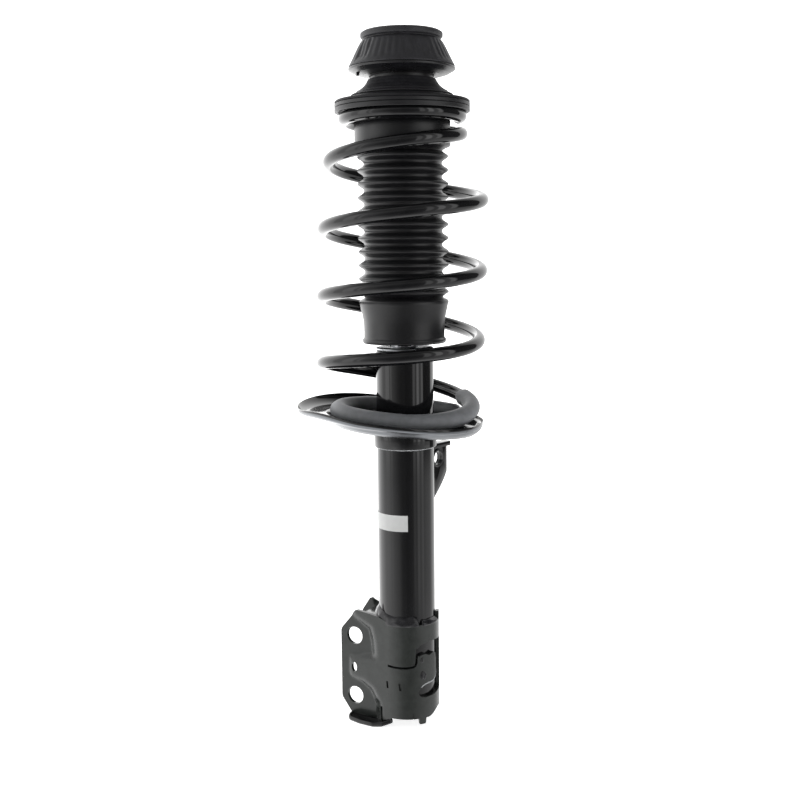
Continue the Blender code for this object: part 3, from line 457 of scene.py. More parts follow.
def coil_points(first, last, steps_per_turn=56):
    """(point, level height) along the wire; the level height leaves out its tilted seat's lean."""
    fine = 400
    rises = [coil_rise(i / fine) / fine for i in range(int(TURNS_ABOVE * fine))]
    pitch = (TOP_COIL_Z - BOTTOM_COIL_Z) / sum(rises)
    climbed = [0.0]
    for rise in rises:
        climbed.append(climbed[-1] + rise * pitch)
    found = []
    for i in range(round((last - first) * steps_per_turn) + 1):
        turn = first + i / steps_per_turn
        height = climbed[min(max(0, round(turn * fine)), len(climbed) - 1)]
        share = height / (TOP_COIL_Z - BOTTOM_COIL_Z)
        angle = 2 * math.pi * (turn - 0.25)
        radius = coil_radius(turn)
        x = radius * math.cos(angle) - COIL_BOW * math.sin(math.pi * (1 - share) ** 3)
        lean = math.tan(math.radians(SEAT_TILT)) * (1 - share) ** 0.8
        level = BOTTOM_COIL_Z + height
        found.append(((x, radius * math.sin(angle), level - lean * x), level))
    return found


def wire_piece(name, first, last, radius, ends, finish, node, ripple=0.0):
    """A round wire along part of the coil's line; `ends` is how far its ends are rounded off."""
    line = coil_points(first, last)
    path = [p for p, _ in line]
    run = [0.0]
    for a, b in zip(path, path[1:]):
        run.append(run[-1] + (Vector(b) - Vector(a)).length)
    ring = circle(24)
    sections, lines = [], []
    for i, (point, outward, upward) in enumerate(section_frames(path)):
        near = min(run[i], run[-1] - run[i])
        grown = radius + ripple * noise.noise(Vector(point) * 0.06)
        if near < ends:
            grown *= math.sqrt(max(0.0, 1 - (1 - near / ends) ** 2)) * 0.35 + 0.65
        sections.append([tuple(point + outward * grown * c + upward * grown * s) for c, s in ring])
        lines += [(point.x, point.y, line[i][1])] * len(ring)
    shape, faces = lofted(sections)
    return squashed(name, shape, lines, faces, finish, "strut", [node])


SLEEVE_END = SLEEVE_TURNS - TURNS_FLAT_BELOW
SPRING_FROM = -TURNS_FLAT_BELOW
wire_piece(
    "coil_spring_wire", SPRING_FROM, TURNS_ABOVE, WIRE_R, 1.0, spring_coat, "coil_spring"
)
wire_piece(
    "coil_sleeve", SPRING_FROM - 0.01, SLEEVE_END, SLEEVE_R, 1.6, sleeve_vinyl,
    "lower_coil_sleeve", ripple=0.12,
)


# ---------------------------------------------------------------- dust boot and bump stop

BOOT_R = 37.5
BOOT_VALLEY_R = 32.2
BOOT_CUP_R = 39.4
BOOT_LIP_R = 34.4
BOOT_WALL = 1.3
BOOT_CUP = 22.0
BOOT_SKIRT = 38.0
BOOT_FOLDS = 11


def boot_outline():
    """(radius, height) down the outside: a cup, rounded bellows, and a waisted skirt with a rolled lip."""
    cup_low = BOOT_TOP - BOOT_CUP
    skirt_top = BOOT_LOW + BOOT_SKIRT
    pitch = (cup_low - skirt_top) / BOOT_FOLDS
    found = [(BOOT_CUP_R - 1.6, BOOT_TOP), (BOOT_CUP_R - 0.5, BOOT_TOP - 0.5), (BOOT_CUP_R, BOOT_TOP - 1.8)]
    found += [
        (BOOT_CUP_R, cup_low + 1.6), (BOOT_CUP_R - 0.6, cup_low + 0.5), (BOOT_CUP_R - 2.2, cup_low - 0.2)
    ]
    per_fold = 12
    mean = (BOOT_R + BOOT_VALLEY_R) / 2
    swing = (BOOT_R - BOOT_VALLEY_R) / 2
    for i in range(BOOT_FOLDS * per_fold + 1):
        t = i / per_fold
        wave = math.cos(2 * math.pi * (t - 0.62))
        wave = 2 * (0.5 + 0.5 * wave) ** 1.35 - 1
        fade = smooth(0.0, 0.25, t)
        radius = mean + swing * wave
        found.append((radius * fade + (BOOT_CUP_R - 4) * (1 - fade), cup_low - 0.6 - (pitch - 0.08) * t))
    found += [
        (BOOT_VALLEY_R + 1.0, skirt_top - 0.6), (BOOT_R - 1.2, skirt_top - 2.0),
        (BOOT_R - 0.1, skirt_top - 3.4),
    ]
    for k in range(1, 9):
        t = k / 8
        found.append(
            (BOOT_R - 0.1 - (BOOT_R - BOOT_LIP_R + 0.6) * smooth(-0.25, 1.1, t), skirt_top - 3.4 - 18.5 * t)
        )
    base = BOOT_LIP_R - 0.75
    found += [(base, BOOT_LOW + 10), (base, BOOT_LOW + 5.2), (base + 0.15, BOOT_LOW + 4.4)]
    found += [
        (BOOT_LIP_R + 0.3, BOOT_LOW + 3.6), (BOOT_LIP_R + 0.5, BOOT_LOW + 2.4),
        (BOOT_LIP_R + 0.3, BOOT_LOW + 0.9),
    ]
    found += [(BOOT_LIP_R - 0.4, BOOT_LOW + 0.1), (BOOT_LIP_R - 1.3, BOOT_LOW)]
    return found


def boot_level(height):
    """Where a height of the boot sits on the line that shortens: only the bellows take up length."""
    cup_low = BOOT_TOP - BOOT_CUP
    skirt_top = BOOT_LOW + BOOT_SKIRT
    return BOOT_TOP + min(max(height, skirt_top), cup_low) - cup_low


def squashed_ring(name, profile, sides, level_of, finish, node):
    """A turned ring under the upper seat, laid out on a line as squashed() does; level_of gives its line's
    height.
    """
    sections = []
    for i in range(sides):
        sections.append([around(360.0 * i / sides, radius, height) for radius, height in profile])
    shape, faces = lofted(sections, closed=True)
    lines = [(x, y, level_of(z)) for x, y, z in shape]
    squashed(name, shape, lines, faces, finish, "upper_seat", [node], 60.0)


def make_boot():
    outer = boot_outline()
    inner = [(max(radius - BOOT_WALL, 18.0), height) for radius, height in reversed(outer)]
    inner[0] = (BOOT_LIP_R - 1.9, BOOT_LOW + 0.3)
    squashed_ring(
        "boot_bellows", outer + inner, 112, boot_level, boot_rubber, "dust_boot",
    )


make_boot()


def make_bump_stop():
    """Three foam bulges under a waist that the seat's cup grips."""
    top, bottom = high("bump_stop"), low("bump_stop")
    bore, bulges = 11.6, 3
    bulge_top = BOOT_TOP - 2.0
    outline = [(bore, top), (21.0, top), (21.0, BOOT_TOP + 2.0), (17.4, BOOT_TOP + 1.6), (17.4, bulge_top)]
    step = (bulge_top - bottom) / bulges
    for i in range(bulges):
        for k in range(1, 12):
            t = k / 12
            outline.append((16.0 - i + 3.2 * math.sin(math.pi * t), bulge_top - step * i - step * t))
    outline += [(13.0, bottom), (bore, bottom)]
    squashed_ring(
        "bump_stop_foam", outline, 64, lambda z: z, foam, "bump_stop"
    )


make_bump_stop()


# ---------------------------------------------------------------- top mount

CONE_RIBS = 44
CONE_GROOVES = [
    (-46, 2.2, 1.2), (-62, 1.6, 0.7), (48, 1.6, 0.7), (56, 1.4, 0.9), (65, 1.6, 0.7), (74, 1.6, 0.8),
    (150, 2, 0.8),
]


def cone_shape(heading, radius, height):
    """Shallow upright ribs down the cone, and a front apron that ends higher than the sides."""
    if radius < 23:
        return radius, height
    down = smooth(CONE_TOP - 7.5, CONE_TOP - 10, height) * (1 - smooth(CONE_LOW + 5.5, CONE_LOW + 3, height))
    ribs = 0.2 * math.cos(math.radians(heading) * CONE_RIBS) + 0.26 * noise.noise(
        Vector((heading * 0.3, 0.7, 2.0))
    )
    turned_to = heading - 360 if heading > 180 else heading
    grooves = sum(depth * math.exp(-(((turned_to - at) / wide) ** 2)) for at, wide, depth in CONE_GROOVES)
    notch = 1.5 * math.exp(-(((turned_to + 55) / 7) ** 4)) * smooth(CONE_TOP - 16, CONE_TOP - 18.5, height)
    notch *= 1 - smooth(CONE_LOW + 4.5, CONE_LOW + 2.5, height)
    return radius + (ribs - grooves) * down - notch, height


def make_top_mount():
    hub = 12.3
    cone = [(22.0, 0), (31.0, 0), (33.5, -1.4), (33.5, -4.2), (32.8, -5.2), (31.0, -6.0), (30.8, -6.6)]
    cone += [
        (32.6, -7.8), (33.4, -8.8), (35.7, -13), (37.9, -17.5), (40.2, -22.2), (42.0, -25.2), (43.2, -27.4)
    ]
    inside = [(43.2, CONE_LOW), (hub, CONE_LOW), (hub, CORE_TOP), (22.0, CORE_TOP)]
    radii = [0.8, 1.4, 1.4, 1.4, 1.0, 0.4, 0.4, 0.6] + [3.0] * 6 + [0.4] + [0.0, 0.3, 0.8]
    turned(
        "mount_rubber_cone", eased(above(CONE_TOP, cone) + inside, radii), cone_rubber, "top_mount",
        "black_rubber", ["mount_rubber"], 264, cone_shape, 50,
    )

    rim, bore = 43.7, 20.3
    bowl = [(rim, 1.2), (38.5, -1.6), (32, -3.2), (26.4, -3.8), (26.4, 0), (bore, 0)]
    plate = [(bore, PLATE_TOP), (rim, PLATE_TOP)] + above(PLATE_LOW, bowl)
    turned(
        "mount_base_plate", eased(plate, [0.2, 0.9, 1.2, 3.0, 3.0, 0.5, 0.1, 0.1]), plate_coat, "top_mount",
        "zinc_plate", ["mount_plate"], 128,
    )

    tab = []
    for z, grow in ((-4.2, -0.5), (-3.8, 0.0), (-0.5, 0.2)):
        corners = ((-78, 35.8 - grow), (-78, 38.2 + grow), (-72.5, 38.2 + grow), (-72.5, 35.8 - grow))
        tab.append([around(heading, radius, PLATE_LOW + z) for heading, radius in corners])
    piece("plate_locating_tab", *lofted(tab), plate_coat, "top_mount", "zinc_plate")

    neck = [(12.5, 0), (25.0, 0), (25.6, -0.8), (25.6, -9.1), (24.1, -9.1), (24.1, -5.4), (12.5, -5.4)]
    neck = eased(above(NECK_TOP, neck), [0.2, 0.6, 0.6, 0.3, 0.3, 0.3, 0.2])
    turned("bearing_housing", neck, nylon, "top_mount", "housing_polymer", ["bearing_upper_race"])


make_top_mount()


def make_rod_nut():
    """A flanged hexagon nut with chamfered corners, and the stud's thread above it."""
    bottom, top = low("rod_nut"), high("rod_nut")
    bore, half_across, flange_r, corner_r = 6.3, 9.5, 10.9, 10.97
    levels = [(0.0, 1.0, True), (0.9, 1.0, True), (1.6, 0.0, False), (top - bottom - 1.2, 0.0, False)]
    levels += [(top - bottom, 0.5, False)]
    sections = []
    for i in range(96):
        angle = 2 * math.pi * i / 96
        fold = (angle + math.pi / 6) % (math.pi / 3) - math.pi / 6
        hexagon = half_across / math.cos(fold)
        loop = [(bore, bottom)]
        for height, cut, flange in levels:
            loop.append((flange_r if flange else min(hexagon, corner_r - cut * 1.6), bottom + height))
        loop.append((bore, top))
        sections.append([(r * math.cos(angle), r * math.sin(angle), z) for r, z in loop])
    piece(
        "flanged_rod_nut", *lofted(sections, closed=True), zinc, "top_mount", "zinc_plate", ["rod_nut"], 25.0
    )

    pitch, root, depth, steps = 1.25, 5.9, 0.32, 40
    turns = (high("piston_rod") - top - 1.0) / pitch + 0.4
    sections = []
    for i in range(int(turns * steps)):
        t = i / steps
        angle = 2 * math.pi * t
        z = top + 0.2 + pitch * t
        fade = min(1.0, (turns - t) * 3, t * 3)
        loop = [(root, z - 0.45), (root + depth * fade, z), (root, z + 0.45)]
        sections.append([(r * math.cos(angle), r * math.sin(angle), h) for r, h in loop])
    piece("stud_thread", *lofted(sections), steel, "top_mount", "hard_chrome", (), 25.0)


make_rod_nut()


# ---------------------------------------------------------------- upper seat


def make_upper_seat():
    bore = 13.0
    low_z = FLOOR - 2.2
    outer = [(26.7, 6.2), (27.7, 6.0), (29.0, 3.2), (31.1, 0.4), (34.4, -2.4), (37.4, -4.0), (39.8, -5.4)]
    outer = above(FLOOR, outer + [(43.6, -6.9), (49.6, -8.5)])
    outer += above(SKIRT_TOP, [(54.2, -0.2), (55.2, -1.0), (55.2, -2.3), (43.7, -2.2)])
    under = [(36.1, low_z - 2.6), (31.1, low_z), (bore, low_z), (bore, FLOOR), (26.7, FLOOR)]
    radii = [0.4, 1.0, 2.0, 2.0, 1.5, 0.8, 0.8, 1.5, 2.0, 0.8, 0.4, 0.3] + [0.5] * 6
    turned(
        "upper_seat_dome", eased(outer + under, radii), dome_coat, "upper_seat", "gloss_black_paint",
        ["upper_spring_seat"], 128,
    )

    cover = [(26.8, 7.5), (27.8, 7.3), (29.1, 4.8), (31.3, 1.9), (34.8, -1.0), (37.2, -2.2), (37.8, -3.1)]
    cover += [(41.4, -4.8), (42.2, -5.8), (41.2, -5.8), (37.6, -3.9), (34.5, -2.2), (31.2, 0.6), (29.1, 3.4)]
    cover = above(FLOOR, cover + [(27.8, 6.2), (26.8, 6.4)])
    turned(
        "bearing_dust_cover", eased(cover, 0.5), cone_rubber, "upper_seat", "gloss_black_paint", (), 128,
        sharp=60,
    )

    groove = WIRE_R + 0.55
    inner_r = TOP_COIL_R - groove - 1.2
    ring = [(inner_r, 0), (54.8, 0), (55.3, -0.5), (55.3, -2.9), (54.7, -3.3), (55.3, -3.7)]
    ring = above(SKIRT_TOP - 2.5, ring)
    ring += [(55.3, BAND_LOW + 0.5), (54.8, BAND_LOW), (TOP_COIL_R + groove + 0.3, BAND_LOW)]
    for k in range(1, 16):
        t = math.pi * k / 16
        height = TOP_COIL_Z + groove * math.sin(t)
        if height > BAND_LOW - 0.4:
            ring.append((TOP_COIL_R + groove * math.cos(t), height))
    ring.append((inner_r, TOP_COIL_Z + 2.0))
    turned("upper_coil_ring", ring, ring_rubber, "upper_seat", "black_rubber", ["upper_coil_insulator"], 128)

    washer = above(BOOT_TOP + FIT, [(18.0, 1.2), (40.6, 1.2), (40.6, 0), (18.0, 0)])
    turned(
        "boot_clamp_washer", eased(washer, [0.1, 0.5, 0.5, 0.1]), zinc, "upper_seat", "zinc_plate",
        ["boot_washer"],
    )


make_upper_seat()


# ---------------------------------------------------------------- tube, collar and welds


def make_tube():
    tube = [(TUBE_BORE_R, TUBE_TOP), (TUBE_R - 0.7, TUBE_TOP), (TUBE_R, TUBE_TOP - 0.8), (TUBE_R, TUBE_LOW)]
    tube.append((TUBE_BORE_R, TUBE_LOW))
    turned(
        "damper_tube", eased(tube, [0.2, 0.5, 0.5, 0.2, 0.2]), tube_enamel, *PAINTED,
        ["reservoir_tube"], 160,
    )
    cap_top, skirt, bore = high("bump_cap"), TUBE_R + 0.2, 12.5
    cap = [(bore, cap_top), (22.6, cap_top), (skirt, cap_top - 0.8)]
    cap += above(TUBE_TOP, [(skirt, 0.3), (21.7, 0.3), (21.7, -0.7), (bore, -0.7)])
    cap = eased(cap, [0.3, 0.6, 0.6, 0.2, 0.2, 0.2, 0.2])
    turned("tube_end_cap", cap, zinc, "strut", "zinc_plate", ["bump_cap"], 128)


make_tube()


def weld_bead(name, heading_from, heading_to, radius, height_at, size):
    """A rippled fillet bead lying in a corner round the tube; height_at(heading) is its foot."""
    count = max(8, int(abs(heading_to - heading_from) / 1.5))
    sections = []
    for i in range(count + 1):
        t = i / count
        heading = heading_from + (heading_to - heading_from) * t
        ends = min(1.0, min(t, 1 - t) * count / 5 + 0.15)
        uneven = 0.25 * noise.noise(Vector((heading * 0.12, size, 0.3)))
        swell = size * ends * (1 + 0.14 * math.sin(i * 1.9) + uneven)
        foot = height_at(heading)
        sections.append(
            [around(heading, radius + swell * 0.62 * c, foot + swell * 0.62 * s) for c, s in circle(10)]
        )
    piece(name, *lofted(sections), weld_enamel, *PAINTED, (), 60)


def make_collar():
    tilt = math.tan(math.radians(SEAT_TILT))
    drop = SEAT_Z - 9.0 - 2.5 - FIT
    bore, outer, weld_r = 24.35, 26.35, 27.1
    sections = []
    for i in range(128):
        angle = 2 * math.pi * i / 128
        loop = []
        for radius, part in ((bore, 0), (26.0, 0), (outer, 0.04), (outer, 0.96), (26.0, 1), (bore, 1)):
            x = radius * math.cos(angle)
            top = drop - tilt * x
            loop.append((x, radius * math.sin(angle), COLLAR_LOW + (top - COLLAR_LOW) * part))
        sections.append(loop)
    ring = lofted(sections, closed=True)
    piece("seat_collar_ring", *ring, tube_enamel, *PAINTED, ["seat_collar"])
    toe = above(COLLAR_LOW, [(24.1, -0.9), (24.5, -0.9), (25.6, -0.2), (25.6, 0.2), (24.1, 0.2)])
    # The weld toe ring takes the light grey painted highlight, a bright line of light painted along the
    # collar's foot
    turned("collar_weld_toe", toe, painted_highlight_edge, *PAINTED)

    def foot(heading):
        return drop - tilt * weld_r * math.sin(math.radians(heading)) - 1.3

    weld_bead("seat_weld", -178, 178, weld_r, foot, 1.8)


make_collar()


# ---------------------------------------------------------------- lower spring seat


# Waves of the rim as rise, heading of the crest and half width
RIM_WAVES = [(3.0, -52, 30), (-2.0, 30, 60), (6.0, 215, 75)]


def bump_about(centre, width, heading):
    away = abs((heading - centre + 180) % 360 - 180) / width
    return 0.5 + 0.5 * math.cos(math.pi * away) if away < 1 else 0.0


def seat_point(radius, height, heading, rim_share, tilt):
    """A point of the dish: rim_share runs from nil at `radius` to one at the off-centre rim, which waves."""
    angle = math.radians(heading)
    across = SEAT_OFFSET * math.sin(angle)
    rim = across + math.sqrt(SEAT_RIM_R**2 - (SEAT_OFFSET * math.cos(angle)) ** 2)
    reach = radius + (rim - radius) * rim_share
    lift = sum(rise * bump_about(centre, width, heading) for rise, centre, width in RIM_WAVES)
    point = Vector((reach * math.sin(angle), -reach * math.cos(angle), height + lift * rim_share**2.4))
    return tilt @ point + Vector((0, 0, SEAT_Z))


def make_lower_seat():
    """The pressed dish: a hub on the tube, a trough for the coil, a sloping ledge and a turned-up rim."""
    tilt = Matrix.Rotation(math.radians(SEAT_TILT), 3, "Y")
    bed, floor = BOTTOM_COIL_R, -9.0
    wall = bed + SLEEVE_R + FIT
    upper = [(26.8, floor + 8, 0), (27.4, floor + 4.2, 0), (29.0, floor + 1.8, 0), (32.0, floor + 0.6, 0)]
    upper += [(bed - 6, floor, 0), (bed - 2, floor - 0.2, 0), (bed + 3, floor + 0.1, 0)]
    upper += [(wall - 2.2, floor + 2.4, 0), (wall - 0.6, floor + 5.4, 0), (wall, floor + 6.6, 0.02)]
    upper += [(wall + 0.6, floor + 7.0, 0.12), (wall, -2.6, 0.3), (wall, -3.2, 0.6), (wall, -2.6, 0.86)]
    upper += [(wall, -1.2, 0.95), (wall, 0.2, 0.985), (wall, 0.55, 1.0)]
    lower = [
        (wall, 0.3, 1.022), (wall, -1.3, 1.02), (wall, -3.0, 0.98), (wall, -4.2, 0.86), (wall, -5.2, 0.5)
    ]
    lower += [(wall + 1.2, -5.6, 0.14), (wall + 1.4, -6.4, 0.0), (wall - 0.4, floor + 0.4, 0)]
    lower += [(bed + 3.8, floor - 2.3, 0), (bed - 5, floor - 2.5, 0)]
    lower += [(30.4, floor - 1.8, 0), (27.6, floor - 0.6, 0), (26.8, floor + 1.2, 0)]
    ring = upper + lower
    sections = []
    for heading in range(0, 360, 2):
        sections.append([tuple(seat_point(r, h, heading, share, tilt)) for r, h, share in ring])
    dish = lofted(sections, closed=True)
    seat = piece(
        "pressed_spring_seat", *dish, seat_enamel, *PAINTED, ["lower_spring_seat"], 45
    )
    # The underside and the rim's outer faces take the silver grey painted reflection
    seat.data.materials.append(seat_underside_painted_reflection)
    for face in seat.data.polygons:
        if len(upper) < face.index % len(ring) < len(ring) - 1:
            face.material_index = 1


make_lower_seat()


# ---------------------------------------------------------------- knuckle bracket

FLANGE_HEADING = -29.0
SHEET = 3.0
WRAP_R = TUBE_R + FIT + SHEET / 2
FLANGE_C = 18.0
FLANGE_REACH = 54.7
WRAP_TOP = 82.0
WRAP_LOW = 0.5
BOLT_W = 41.0
BOLT_Z = (11.7, 65.0)
BOLT_R = 7.6

# Flat pads of a flange as (out from the tube, height); the sheet between them is raised into ribs
PADS = [
    (60, 95), (46, 95), (42.5, 82), (27, 72.3), (24.7, 61.5), (24.2, 53), (36, 49), (47, 48), (47.5, 31),
    (45, 27.5),
]
PADS += [(33.9, 24), (25.9, 18.5), (20.6, 8.5), (19.8, -12), (60, -12)]
RIB_SLOPE = 0.8

FRONT_TOP = [
    (0, WRAP_TOP), (7, 84.6), (14, 86.8), (24, 87.9), (38.2, 89.0), (FLANGE_REACH, 69.6), (FLANGE_REACH, 40)
]
REAR_TOP = [
    (0, WRAP_TOP), (7, 83.0), (34, 83.4), (39, 84.8), (44.4, 88.6), (46.6, 88.2), (FLANGE_REACH, 76.0),
    (FLANGE_REACH, 40),
]
FLANGE_LOW = [(0, WRAP_LOW), (16, -5.5), (44.2, -5.5), (FLANGE_REACH, 8.5), (FLANGE_REACH, 40)]


def flange_point(w, c, z):
    """A point of the bracket: w out from the tube along the flanges, c across them to the front."""
    angle = math.radians(FLANGE_HEADING)
    x = -w * math.cos(angle) + c * math.sin(angle)
    y = -w * math.sin(angle) - c * math.cos(angle)
    return (x, y, z)


def outside_pads(w, z):
    """Distance of a spot on the flange from its flat pads, nil on them."""
    nearest, inside = 1e9, False
    for (ax, ay), (bx, by) in zip(PADS, PADS[1:] + PADS[:1]):
        dx, dy = bx - ax, by - ay
        share = min(max(((w - ax) * dx + (z - ay) * dy) / (dx * dx + dy * dy), 0.0), 1.0)
        nearest = min(nearest, math.hypot(w - ax - share * dx, z - ay - share * dy))
        if (ay > z) != (by > z) and w < (bx - ax) * (z - ay) / (by - ay) + ax:
            inside = not inside
    return 0.0 if inside else math.sqrt(nearest**2 + 0.7) - math.sqrt(0.7)


def flange_height(w, z):
    """Height of the front flange's middle surface off the plane between the flanges."""
    if w <= 3.5:
        crown = math.sqrt(WRAP_R**2 - w**2)
    else:
        crown = 25.56 + (w - 3.5) * (19.7 - 25.56) / (46 - 3.5)
    rise, most = RIB_SLOPE * outside_pads(w, z), max(crown - FLANGE_C, 0.0)
    blend = max(2.2 - abs(rise - most), 0.0) / 2.2
    return FLANGE_C + max(min(rise, most) - blend**2 * 2.2 / 4, 0.0)


def height_along(line, w):
    """Height of an outline at this distance from the tube."""
    for (w0, z0), (w1, z1) in zip(line, line[1:]):
        if w0 <= w <= w1 and w1 > w0:
            return z0 + (z1 - z0) * (w - w0) / (w1 - w0)
    return line[0][1]


def wrap_low(angle):
    """Lower edge of the wrap: it rises past the window."""
    return WRAP_LOW + 5.5 * smooth(68, 102, angle) - 6.0 * smooth(150, 180, angle)


def solid(name, points, faces):
    made = new_object(name, points, faces)
    face_outward(made.data)
    return made


def with_modifiers_applied(made):
    graph = bpy.context.evaluated_depsgraph_get()
    mesh = bpy.data.meshes.new_from_object(made.evaluated_get(graph))
    made.modifiers.clear()
    made.data = mesh
    return made


def cut_away(made, cutters, edge=0.0):
    """Takes the cutters out of the solid, and rounds its sharp edges by `edge`."""
    for cutter in cutters:
        step = made.modifiers.new("cut", "BOOLEAN")
        step.object = cutter
        step.operation = "DIFFERENCE"
        step.solver = "EXACT"
    if edge:
        rounding = made.modifiers.new("edges", "BEVEL")
        rounding.width = edge * MM
        rounding.segments = 2
        rounding.limit_method = "ANGLE"
        rounding.angle_limit = math.radians(48)
    with_modifiers_applied(made)
    for cutter in cutters:
        bpy.data.objects.remove(cutter)
    return made


MM_PER_DEGREE = 0.45  # round the wrap


def wall_cutter(outline, inner=TUBE_BORE_R, outer=44.0):
    """A cutter through the wrap whose outline is given as (heading, height)."""
    loop = []
    for (h0, z0), (h1, z1) in zip(outline, outline[1:] + outline[:1]):
        parts = max(1, int(max(abs(h1 - h0) / 5, abs(z1 - z0) / 6)))
        loop += [(h0 + (h1 - h0) * k / parts, z0 + (z1 - z0) * k / parts) for k in range(parts)]
    flat = [Vector((h * MM_PER_DEGREE, z, 0)) for h, z in loop]
    tris = [tuple(t) for t in tessellate_polygon([flat])]
    count = len(loop)
    points = [around(h, inner, z) for h, z in loop] + [around(h, outer, z) for h, z in loop]
    faces = tris + [tuple(count + i for i in reversed(t)) for t in tris]
    faces += [(j, (j + 1) % count, count + (j + 1) % count, count + j) for j in range(count)]
    return solid("wall cutter", points, faces)


def flange_cutter(w, z, half_wide, half_high, sides=48):
    """A round or oval cutter through both flanges."""
    loop = [(w + half_wide * c, z + half_high * s) for c, s in circle(sides)]
    sections = [[flange_point(out, across, up) for out, up in loop] for across in (-32, 32)]
    return solid("flange cutter", *lofted(sections))


def slot_line(path, width):
    """A closed outline round a line of (heading, height) points, `width` mm across."""
    flat = [Vector((h * MM_PER_DEGREE, z)) for h, z in path]
    one, two = [], []
    for i, at in enumerate(flat):
        ahead = (flat[min(i + 1, len(flat) - 1)] - flat[max(i - 1, 0)]).normalized()
        side = Vector((-ahead.y, ahead.x)) * width / 2
        one.append(at + side)
        two.append(at - side)
    return [(p.x / MM_PER_DEGREE, p.y) for p in one + two[::-1]]


def bracket_sheet():
    half = SHEET / 2
    rows = 56
    tops = eased([Vector(p) for p in FRONT_TOP], [0, 5, 5, 5, 3, 6, 0])
    rear_tops = eased([Vector(p) for p in REAR_TOP], [0, 5, 2, 2, 1.5, 1.5, 5, 0])
    lows = eased([Vector(p) for p in FLANGE_LOW], [0, 6, 5, 6, 0])
    reach = [FLANGE_REACH - d for d in (0.0, 0.25, 0.6, 1.1, 1.8, 2.6)]
    count = 34
    reach += [(FLANGE_REACH - 3.8) * (1 - i / count) for i in range(count)]
    stations = [("front", w) for w in reach] + [("ring", 3.75 * i) for i in range(49)]
    stations += [("rear", w) for w in reversed(reach)]
    sections = []
    for kind, value in stations:
        if kind == "ring":
            low_z, top_z = wrap_low(value), WRAP_TOP
        else:
            low_z = height_along(lows, value)
            top_z = height_along(tops if kind == "front" else rear_tops, value)
        outer, inner = [], []
        for j in range(rows):
            z = low_z + (top_z - low_z) * j / (rows - 1)
            if kind == "ring":
                a = math.radians(value)
                for side, r in ((outer, WRAP_R + half), (inner, WRAP_R - half)):
                    side.append(flange_point(-r * math.sin(a), r * math.cos(a), z))
                continue
            side = 1 if kind == "front" else -1
            c = flange_height(value, z)
            less, more = max(value - 0.3, 0), value + 0.3
            along_w = (flange_height(more, z) - flange_height(less, z)) / (more - less)
            along_z = (flange_height(value, z + 0.3) - flange_height(value, z - 0.3)) / 0.6
            normal = Vector((-along_w, 1, -along_z)).normalized() * half
            outer.append(flange_point(value + normal.x, side * (c + normal.y), z + normal.z))
            inner.append(flange_point(value - normal.x, side * (c - normal.y), z - normal.z))
        sections.append(outer + inner[::-1])
    return solid("pressed_knuckle_bracket", *lofted(sections))


# The window curls round a tongue of the sheet: over it, down its far side and back under it
WINDOW = [(17.5, 62), (24, 64.8), (41, 66.9), (60, 66.4), (88, 65.5), (88, 23), (76, 20.6), (56, 18.9)]
WINDOW += [(34, 18.6), (26, 19.2), (20.5, 21.5), (19.3, 24), (22.8, 26.6), (33.8, 29.6), (50, 30.4)]
WINDOW += [(57, 32.2), (61, 36.5), (61.5, 50), (60, 54.6), (54, 56.4), (42, 54.6), (34, 56.4), (27, 56)]
WINDOW += [(21, 55), (17.9, 56)]
SEAM = [(17.6, 62.0), (16.4, 55), (15.4, 49.4), (13.4, 47.2), (9.5, 46.2), (0, 45.6), (-12, 45.4)]
SEAM += [(-26, 45.6), (-38.5, 46.2)]

# The seam, two slots and two marks as a line of (heading, height), a width and the radius they start from
SLOTS = [(SEAM, 1.9, TUBE_BORE_R), ([(-39.0, 26.3), (-40.4, 32.3)], 1.7, 25.3)]
SLOTS += [([(-13.4, 25.7), (-15.2, 31.8)], 1.7, 25.3), ([(9.0, -2.0), (9.3, 5.6)], 0.5, 26.4)]
SLOTS.append(([(-53.5, -4.0), (-54.5, 8.5)], 2.4, 24.6))


def make_knuckle_bracket():
    sheet = bracket_sheet()
    cutters = [flange_cutter(BOLT_W, z, BOLT_R, BOLT_R) for z in BOLT_Z]
    cutters.append(flange_cutter(40.6, 37.6, 2.9, 4.4, 32))
    cutters.append(wall_cutter(WINDOW))
    cutters += [wall_cutter(slot_line(path, width), inner) for path, width, inner in SLOTS]
    cut_away(sheet, cutters, edge=0.45)
    as_piece(sheet, bracket_coat, *COATED, ["knuckle_bracket"], 42)


make_knuckle_bracket()


def curved_panel(name, outline, inner, outer):
    """A panel round the tube, its outline given as rows of (height, left heading, right heading)."""
    rows = []
    count = 26
    for z, left, right in outline:
        loop_out, loop_in = [], []
        for k in range(count + 1):
            heading = left + (right - left) * k / count
            drop = 0.5 * max(0.0, 1 - min(k, count - k) / 2)
            loop_out.append(around(heading, outer - drop, z))
            loop_in.append(around(heading, inner, z))
        rows.append(loop_out + loop_in[::-1])
    piece(name, *lofted(rows), bracket_coat, *COATED, (), 40)


# Heading, height, half width and half height of each
SPOT_WELDS = [(27.5, 38.5, 2.0, 3.6), (31.5, 37.0, 1.6, 3.0), (26.5, 51.5, 1.3, 2.6)]


